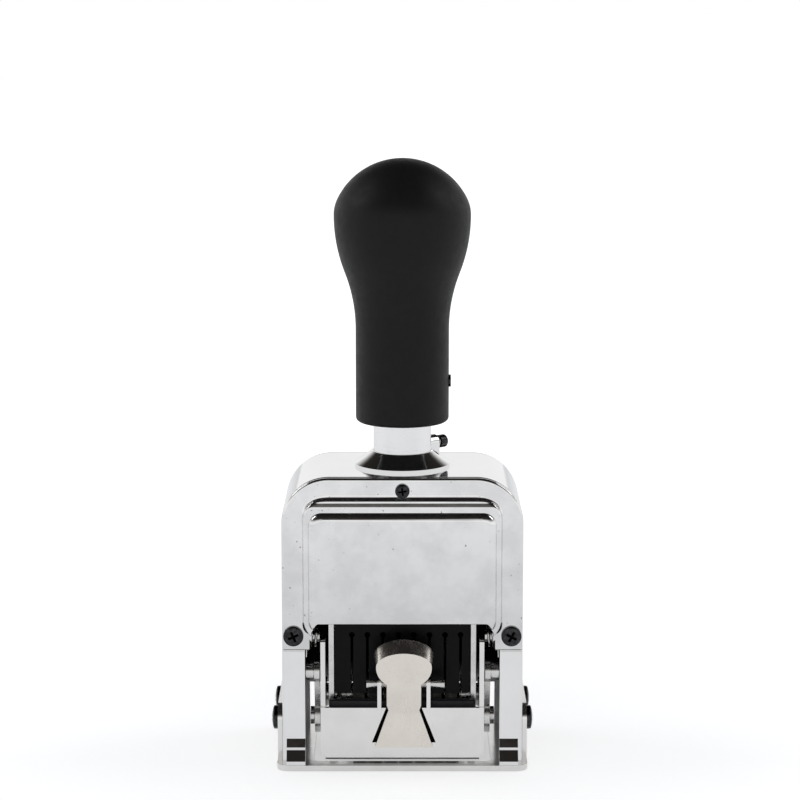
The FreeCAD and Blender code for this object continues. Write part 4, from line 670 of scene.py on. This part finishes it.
class MACHINE_OT_pressed_border(bpy.types.Operator):
    """Press the border of each cover's field to its leaning ledge and soft foot"""
    bl_idname = "machine.pressed_border"
    bl_label = "Pressed border"

    # How much wider apart the upright cuts are
    WIDER = 4
    # Play in telling which corners lie in the ledge's depth
    SLACK = 0.001

    def execute(self, context):
        look = context.scene.machine_border
        for name in ("front_cover", "rear_cover"):
            mesh = merged(name)
            self.sliced(mesh, AXIS_Z, look.bend - look.soft, look.crest + look.foot, look.cut)
            for side in (-1, 1):
                ends = sorted((look.inner * side, look.outer * side))
                self.sliced(mesh, AXIS_X, *ends, look.cut * self.WIDER)
            for vertex in mesh.verts:
                out = math.copysign(1, vertex.co.y)
                vertex.co.y += out * self.pressed(vertex.co, look)
            piece = settle(f"pressed_{name}", mesh, "cover_chrome", "case", CREASE)
            piece.data.materials.append(finish_of("oiled_inside"))
            rounded(piece, CREASE)
            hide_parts(name)
        return {"FINISHED"}

    def sliced(self, mesh, axis, start, end, cut):
        """Cuts the whole mesh across an axis, from start to end."""
        for step in range(math.ceil((end - start) / cut) + 1):
            bmesh.ops.bisect_plane(mesh, geom=mesh.verts[:] + mesh.edges[:] + mesh.faces[:],
                                   plane_co=axis * (start + cut * step), plane_no=axis)

    def pressed(self, spot, look):
        """How far outwards a corner of the sheet moves."""
        deep = (abs(spot.y) - look.face) / look.raised
        if not -self.SLACK < deep < 1 + self.SLACK:
            return 0
        rise = min(spot.z, look.crest - look.roll) - look.bend
        if rise < look.soft:
            rise = max(0, rise + look.soft) ** 2 / (look.soft * 4)
        moved = -rise * math.tan(look.lean) * deep
        if spot.z > look.crest - look.roll:
            near = min(1, max(0, (look.crest + look.foot - spot.z) / look.foot))
            fade = min(1, max(0, (look.outer - abs(spot.x)) / (look.outer - look.inner)))
            hollow = look.foot / 2 * math.tan(look.foot_lean)
            moved += hollow * near ** 2 * fade ** 2 * (3 - fade * 2) * (1 - deep)
        return moved


class MACHINE_OT_latch_foot(bpy.types.Operator):
    """Spread the thumb latch's dovetail foot in its slot"""
    bl_idname = "machine.latch_foot"
    bl_label = "Latch foot"

    def execute(self, context):
        look = context.scene.machine_latch
        heart = middle("thumb_latch").x
        mesh = merged("thumb_latch")
        for side in (-1, 1):
            flank = [vertex for vertex in mesh.verts
                     if vertex.co.z < look.neck and (vertex.co.x - heart) * side > 0]
            bmesh.ops.translate(mesh, verts=flank, vec=AXIS_X * side * look.spread)
        piece = settle("spread_thumb_latch", mesh, "warm_nickel", "latch", CREASE)
        rounded(piece, CREASE)
        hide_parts("thumb_latch")
        return {"FINISHED"}


class MACHINE_OT_figures(bpy.types.Operator):
    """Set raised mirror-image figures on the blocks of every number wheel"""
    bl_idname = "machine.figures"
    bl_label = "Type figures"

    FIGURES = 10
    # Corners farther out than this share of the wheel's height belong to its blocks
    BLOCKS = 0.45
    # Height of the font's figures against its size, and steps in their curves
    FONT_SHARE = 0.7
    CURVE_STEPS = 3

    def execute(self, context):
        look = context.scene.machine_figures
        flat = span(WHEELS[0]).z / 2
        for index, wheel in enumerate(WHEELS):
            mesh = bmesh.new()
            for figure in range(self.FIGURES):
                turn = Matrix.Rotation(-math.tau * figure / self.FIGURES, 4, "X")
                seat = Matrix.Translation(self.rim_middle(wheel)) @ turn
                self.add_figure(mesh, str(figure), look, seat @ self.facing_down(flat))
            settle(f"figures_{index + 1}", mesh, "wheel_steel", f"wheel_{index + 1}")
        return {"FINISHED"}

    def rim_middle(self, wheel):
        """The middle of the wheel's rim, which starts at the wheel's left end."""
        low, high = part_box(wheel)
        blocks = [spot.co.x for spot in frame["nodes"][wheel].data.vertices
                  if abs(spot.co.z - (low.z + high.z) / 2) > (high.z - low.z) * self.BLOCKS]
        return Vector(((min(blocks) + max(blocks)) / 2, 0, (low.z + high.z) / 2))

    def facing_down(self, flat):
        """From a flat figure to one that faces down from its block, mirrored for print."""
        return (Matrix.Translation((0, 0, -flat)) @ Matrix.Rotation(math.pi, 4, "X")
                @ Matrix.Scale(-1, 4, AXIS_X))

    def add_figure(self, mesh, text, look, place):
        """Adds one figure as a mesh, centred and scaled, at a place."""
        curve = bpy.data.curves.new("figure", "FONT")
        curve.body = text
        curve.size = look.height / self.FONT_SHARE
        curve.extrude = look.relief / 2
        curve.offset = look.weight
        curve.resolution_u = self.CURVE_STEPS
        letter = bpy.data.objects.new("figure", curve)
        data = bpy.data.meshes.new_from_object(letter)
        bpy.data.objects.remove(letter)
        bpy.data.curves.remove(curve)
        corners = [vertex.co for vertex in data.vertices]
        low = Vector(map(min, *corners))
        high = Vector(map(max, *corners))
        centred = Matrix.Translation(-(low + high) / 2 + Vector((0, 0, look.relief / 2)))
        data.transform(place @ Matrix.Scale(look.width_share, 4, AXIS_X) @ centred)
        mesh.from_mesh(data)
        bpy.data.meshes.remove(data)


class MACHINE_OT_springs(bpy.types.Operator):
    """Wind the return spring, the lock button's spring and the two springs of the latch"""
    bl_idname = "machine.springs"
    bl_label = "Springs"

    # Closed turns at each end of the return spring, and their climb against the wire's width
    DEAD_TURNS = 1.5
    TIGHT = 1.05
    # Radii of its wire by which a latch spring keeps off the pin and off its two seats
    PIN_GAP = 1.3
    SEAT_GAP = 1.2
    WIRE_CREASE = math.radians(80)

    def execute(self, context):
        look = context.scene.machine_springs
        self.return_spring(look)
        self.lock_spring(look)
        self.latch_springs(look)
        return {"FINISHED"}

    def return_spring(self, look):
        """Long spring from the bridge up into the knob."""
        low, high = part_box("main_spring")
        radius = (high.x - low.x) / 2 - look.wire
        tight = look.wire * 2 * self.TIGHT
        room = high.z - low.z - look.wire * 2 - tight * self.DEAD_TURNS * 2
        turns = room / look.pitch
        mesh = bmesh.new()
        base = Vector((0, 0, low.z + look.wire))
        rises = [(self.DEAD_TURNS, tight), (turns, look.pitch), (self.DEAD_TURNS, tight)]
        coiled(mesh, base, AXIS_Z, radius, look.wire, rises, look.sides, look.steps)
        piece = settle("return_spring", mesh, "spring_wire", None, self.WIRE_CREASE)
        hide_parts("main_spring")
        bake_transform(piece)

    def lock_spring(self, look):
        """Small spring inside the lock button's cup."""
        turn = self.turn()
        axis = Vector((math.sin(turn), math.cos(turn), 0))
        spots = [vertex.co for vertex in frame["nodes"]["lock_spring"].data.vertices]
        along = [spot.dot(axis) for spot in spots]
        level = middle("lock_spring").z
        radius = max(abs(spot.z - level) for spot in spots) - look.small_wire
        start = min(along) + look.small_wire
        turns = (max(along) - min(along) - look.small_wire * 2) / look.small_pitch
        mesh = bmesh.new()
        base = axis * start + Vector((0, 0, level))
        coiled(mesh, base, axis, radius, look.small_wire, [(turns, look.small_pitch)],
               look.sides, look.steps)
        piece = settle("lock_button_spring", mesh, "spring_wire", "case", self.WIRE_CREASE)
        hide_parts("lock_spring")

    def latch_springs(self, look):
        """A small spring on the hinge pin at each side of the latch's knuckle."""
        pin = middle("latch_pin")
        knuckle = self.near_pin("thumb_latch", pin, look.pin_reach)
        ears = self.near_pin("ink_holder", pin, look.pin_reach)
        radius = look.pin_radius + look.latch_wire * self.PIN_GAP
        mesh = bmesh.new()
        for start, end in ((max(x for x in ears if x < knuckle[0]), knuckle[0]),
                           (knuckle[-1], min(x for x in ears if x > knuckle[-1]))):
            room = end - start - look.latch_wire * 2 * self.SEAT_GAP
            base = Vector((start + look.latch_wire * self.SEAT_GAP, pin.y, pin.z))
            coiled(mesh, base, AXIS_X, radius, look.latch_wire,
                   [(look.latch_turns, room / look.latch_turns)], look.sides, look.steps)
        settle("latch_springs", mesh, "spring_wire", "ink_frame", self.WIRE_CREASE)

    def near_pin(self, node, pin, reach):
        """Where a node's corners lie along the hinge pin, those close to it alone."""
        corners = [vertex.co for vertex in frame["nodes"][node].data.vertices]
        return sorted({round(spot.x, 5) for spot in corners
                       if math.hypot(spot.y - pin.y, spot.z - pin.z) < reach})

    def turn(self):
        """The lock button's turn from +Y, from its spring's own box."""
        spot = middle("lock_spring")
        return math.atan2(spot.x, spot.y)


class MACHINE_OT_ink_pad(bpy.types.Operator):
    """Lay the felt pad in its tray"""
    bl_idname = "machine.ink_pad"
    bl_label = "Ink pad"

    # Cuts along the pad for each cut up it
    CUT_RATIO = 3
    # Waves along the pad, and the shares of the swell that run along it and up it
    WAVES = 3
    ALONG = 0.4
    UP = 0.6
    FELT_CREASE = math.radians(60)

    def execute(self, context):
        look = context.scene.machine_pad
        low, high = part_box("ink_felt")
        size = high - low
        centre = (low + high) / 2
        inset = Vector((look.swell, look.swell, look.swell)) * 2
        mesh = bmesh.new()
        place = Matrix.Translation(centre) @ Matrix.Diagonal((*(size - inset), 1))
        bmesh.ops.create_cube(mesh, size=1, matrix=place)
        bmesh.ops.bevel(mesh, geom=mesh.edges[:], offset=look.edge, segments=3, profile=0.5,
                        affect="EDGES", material=-1)
        for axis, cuts in ((AXIS_X, look.cuts), (AXIS_Z, look.cuts // self.CUT_RATIO)):
            for step in range(1, cuts):
                spot = low + size * step / cuts
                bmesh.ops.bisect_plane(mesh, geom=mesh.verts[:] + mesh.edges[:] + mesh.faces[:],
                                       plane_co=spot, plane_no=axis)
        for vertex in mesh.verts:
            across = (vertex.co.x - centre.x) / size.x * math.tau * self.WAVES
            upward = (vertex.co.z - centre.z) / size.z * math.tau
            side = math.copysign(look.swell, vertex.co.y - centre.y)
            vertex.co.y += side * (math.sin(across) * self.ALONG + math.cos(upward) * self.UP)
        piece = settle("felt_pad", mesh, "ink_felt", "tray", self.FELT_CREASE)
        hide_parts("ink_felt")
        return {"FINISHED"}


class MACHINE_OT_stage(bpy.types.Operator):
    """Set up the pale floor, the lamps, the surroundings and the camera"""
    bl_idname = "machine.stage"
    bl_label = "Stage"

    AIM = Vector((0, 0, 0.07))
    SIDE_LAMP = Vector((0.8, 0.12, 0.78))
    FRONT_LAMP = Vector((-0.25, -1.0, 0.35))
    SIDE_SIZE = 0.5
    FRONT_SIZE = 0.9
    # The floor lies this much under the base plate
    DROP = 0.00005
    FLOOR_SQUARES = 8
    PAPER = ((0.80, 0.80, 0.80, 1), (0.84, 0.84, 0.84, 1))
    WHITE = (1, 1, 1, 1)
    # The floor's glow near the machine and far from it, and where it changes
    CAMERA_GLOW = 0.5
    FAR_GLOW = 0.8
    CLEARING = (0.06, 0.5)
    MIRROR_GLOW = 0.335
    DAYLIGHT = (0.95, 0.97, 1.0, 1)
    EVEN = 0.45
    SENSOR = 36
    CLIP = (0.01, 20)
    # Colours that the plating mirrors, from straight down at 0 to straight up at 1
    SKY = ((0.0, (0.96, 0.96, 0.96)), (0.62, (0.96, 0.96, 0.96)), (0.69, (0.55, 0.545, 0.54)),
           (0.75, (0.12, 0.112, 0.105)), (0.79, (0.022, 0.0195, 0.0175)),
           (1.0, (0.008, 0.007, 0.0065)))

    def execute(self, context):
        look = context.scene.machine_stage
        self.floor(look)
        self.surroundings(context)
        for side in (-1, 1):
            spot = Vector((self.SIDE_LAMP.x * side, self.SIDE_LAMP.y, self.SIDE_LAMP.z))
            self.lamp(f"side_lamp_{side}", spot, self.SIDE_SIZE, look.key)
        # The front lamp lights the machine without showing as a square in its plating
        front = self.lamp("front_lamp", self.FRONT_LAMP, self.FRONT_SIZE, look.fill)
        front.visible_glossy = False
        self.camera(context, look)
        context.scene.view_settings.view_transform = "Standard"
        return {"FINISHED"}

    def floor(self, look):
        """A wide pale floor that keeps the machine's shadow."""
        mesh = bmesh.new()
        bmesh.ops.create_grid(mesh, x_segments=self.FLOOR_SQUARES, y_segments=self.FLOOR_SQUARES,
                              size=look.floor)
        data = bpy.data.meshes.new("floor")
        mesh.to_mesh(data)
        mesh.free()
        floor = bpy.data.objects.new("floor", data)
        bpy.context.scene.collection.objects.link(floor)
        floor.location.z = -self.DROP
        data.materials.append(self.paper())

    def paper(self):
        """White paper floor, seen white by the camera and in reflections."""
        mix = Recipe("floor_paper")
        grain = mix.ranged(mix.noise(6, 2, 0.5), 0, 1)
        tone = mix.mixed(grain, *self.PAPER)
        matt = mix.add("ShaderNodeBsdfDiffuse", Color=tone)
        reach = mix.add("ShaderNodeVectorMath", Vector=mix.place)
        reach.operation = "LENGTH"
        far = mix.ranged(reach.outputs["Value"], self.CAMERA_GLOW, self.FAR_GLOW, *self.CLEARING)
        glow = mix.add("ShaderNodeEmission", Color=self.WHITE, Strength=self.seen(mix, far))
        both = mix.add("ShaderNodeAddShader")
        mix.tree.links.new(matt.outputs[0], both.inputs[0])
        mix.tree.links.new(glow.outputs[0], both.inputs[1])
        mix.tree.links.new(both.outputs[0], mix.out.inputs["Surface"])
        return mix.material

    def seen(self, mix, far):
        """The floor's own glow: one for the camera, another for reflections and glass."""
        path = mix.add("ShaderNodeLightPath")
        total = None
        for ray, glow in (("Is Glossy Ray", self.MIRROR_GLOW),
                          ("Is Transmission Ray", self.MIRROR_GLOW), ("Is Camera Ray", far)):
            part = mix.add("ShaderNodeMath")
            part.operation = "MULTIPLY_ADD"
            for socket, value in zip(part.inputs, (path.outputs[ray], glow, total or 0)):
                if isinstance(value, bpy.types.NodeSocket):
                    mix.tree.links.new(value, socket)
                else:
                    socket.default_value = value
            total = part.outputs[0]
        return total

    def surroundings(self, context):
        """White all round, dark overhead in reflections, and even daylight for the rest."""
        world = bpy.data.worlds.new("studio")
        context.scene.world = world
        world.use_nodes = True
        tree = world.node_tree
        tree.nodes.clear()
        out = tree.nodes.new("ShaderNodeOutputWorld")
        path = tree.nodes.new("ShaderNodeLightPath")
        place = tree.nodes.new("ShaderNodeTexCoord")
        parts = tree.nodes.new("ShaderNodeSeparateXYZ")
        tree.links.new(place.outputs["Generated"], parts.inputs[0])
        ramp = tree.nodes.new("ShaderNodeValToRGB")
        while len(ramp.color_ramp.elements) < len(self.SKY):
            ramp.color_ramp.elements.new(0.5)
        for element, (spot, tone) in zip(ramp.color_ramp.elements, self.SKY):
            element.position = spot
            element.color = (*tone, 1)
        height = tree.nodes.new("ShaderNodeMapRange")
        height.inputs["From Min"].default_value = -1
        height.inputs["From Max"].default_value = 1
        tree.links.new(parts.outputs["Z"], height.inputs["Value"])
        tree.links.new(height.outputs["Result"], ramp.inputs[0])
        white = tree.nodes.new("ShaderNodeBackground")
        white.inputs["Color"].default_value = self.WHITE
        mirrored = tree.nodes.new("ShaderNodeBackground")
        tree.links.new(ramp.outputs[0], mirrored.inputs["Color"])
        even = tree.nodes.new("ShaderNodeBackground")
        even.inputs["Color"].default_value = self.DAYLIGHT
        even.inputs["Strength"].default_value = self.EVEN
        first = tree.nodes.new("ShaderNodeMixShader")
        tree.links.new(path.outputs["Is Glossy Ray"], first.inputs[0])
        tree.links.new(even.outputs[0], first.inputs[1])
        tree.links.new(mirrored.outputs[0], first.inputs[2])
        second = tree.nodes.new("ShaderNodeMixShader")
        tree.links.new(path.outputs["Is Camera Ray"], second.inputs[0])
        tree.links.new(first.outputs[0], second.inputs[1])
        tree.links.new(white.outputs[0], second.inputs[2])
        tree.links.new(second.outputs[0], out.inputs["Surface"])

    def lamp(self, name, spot, size, power):
        """A soft square lamp that faces the machine."""
        data = bpy.data.lights.new(name, "AREA")
        data.shape = "SQUARE"
        data.size = size
        data.energy = power
        lamp = bpy.data.objects.new(name, data)
        bpy.context.scene.collection.objects.link(lamp)
        lamp.location = spot
        lamp.rotation_euler = (self.AIM - spot).to_track_quat("-Z", "Y").to_euler()
        return lamp

    def camera(self, context, look):
        """The camera at the photograph's angle."""
        data = bpy.data.cameras.new("camera")
        data.lens = look.lens
        data.sensor_width = self.SENSOR
        data.clip_start, data.clip_end = self.CLIP
        camera = bpy.data.objects.new("camera", data)
        context.scene.collection.objects.link(camera)
        camera.location = (look.aside, -look.distance, look.rise)
        camera.rotation_euler = (look.pitch, 0, 0)
        context.scene.camera = camera


class MACHINE_PT_panel(bpy.types.Panel):
    """Lists the steps that dress the machine"""
    bl_idname = "MACHINE_PT_panel"
    bl_label = "Numbering machine"
    bl_space_type = "VIEW_3D"
    bl_region_type = "UI"
    bl_category = "Machine"

    def draw(self, context):
        for step in STEPS:
            self.layout.operator(step.bl_idname)
        for name in SETTINGS:
            group = getattr(context.scene, name)
            for key in group.bl_rna.properties.keys():
                if key not in {"rna_type", "name"}:
                    self.layout.prop(group, key)


STEPS = (MACHINE_OT_stage, MACHINE_OT_frame_finishes, MACHINE_OT_pressed_border,
         MACHINE_OT_latch_foot, MACHINE_OT_figures, MACHINE_OT_springs, MACHINE_OT_ink_pad)
SETTINGS = {
    "machine_finish": FinishSettings,
    "machine_border": BorderSettings,
    "machine_latch": LatchSettings,
    "machine_figures": FigureSettings,
    "machine_springs": SpringSettings,
    "machine_pad": PadSettings,
    "machine_stage": StageSettings,
}


def register():
    """Registers the settings, the operators and the panel."""
    for name, group in SETTINGS.items():
        bpy.utils.register_class(group)
        setattr(bpy.types.Scene, name, bpy.props.PointerProperty(type=group))
    for made in (*STEPS, MACHINE_PT_panel):
        bpy.utils.register_class(made)


def unregister():
    """Takes them away again."""
    for made in (MACHINE_PT_panel, *reversed(STEPS)):
        bpy.utils.unregister_class(made)
    for name, group in SETTINGS.items():
        delattr(bpy.types.Scene, name)
        bpy.utils.unregister_class(group)


def main():
    """Dresses the machine."""
    register()
    for step in STEPS:
        group, name = step.bl_idname.split(".")
        getattr(getattr(bpy.ops, group), name)()


if __name__ == "__main__":
    main()
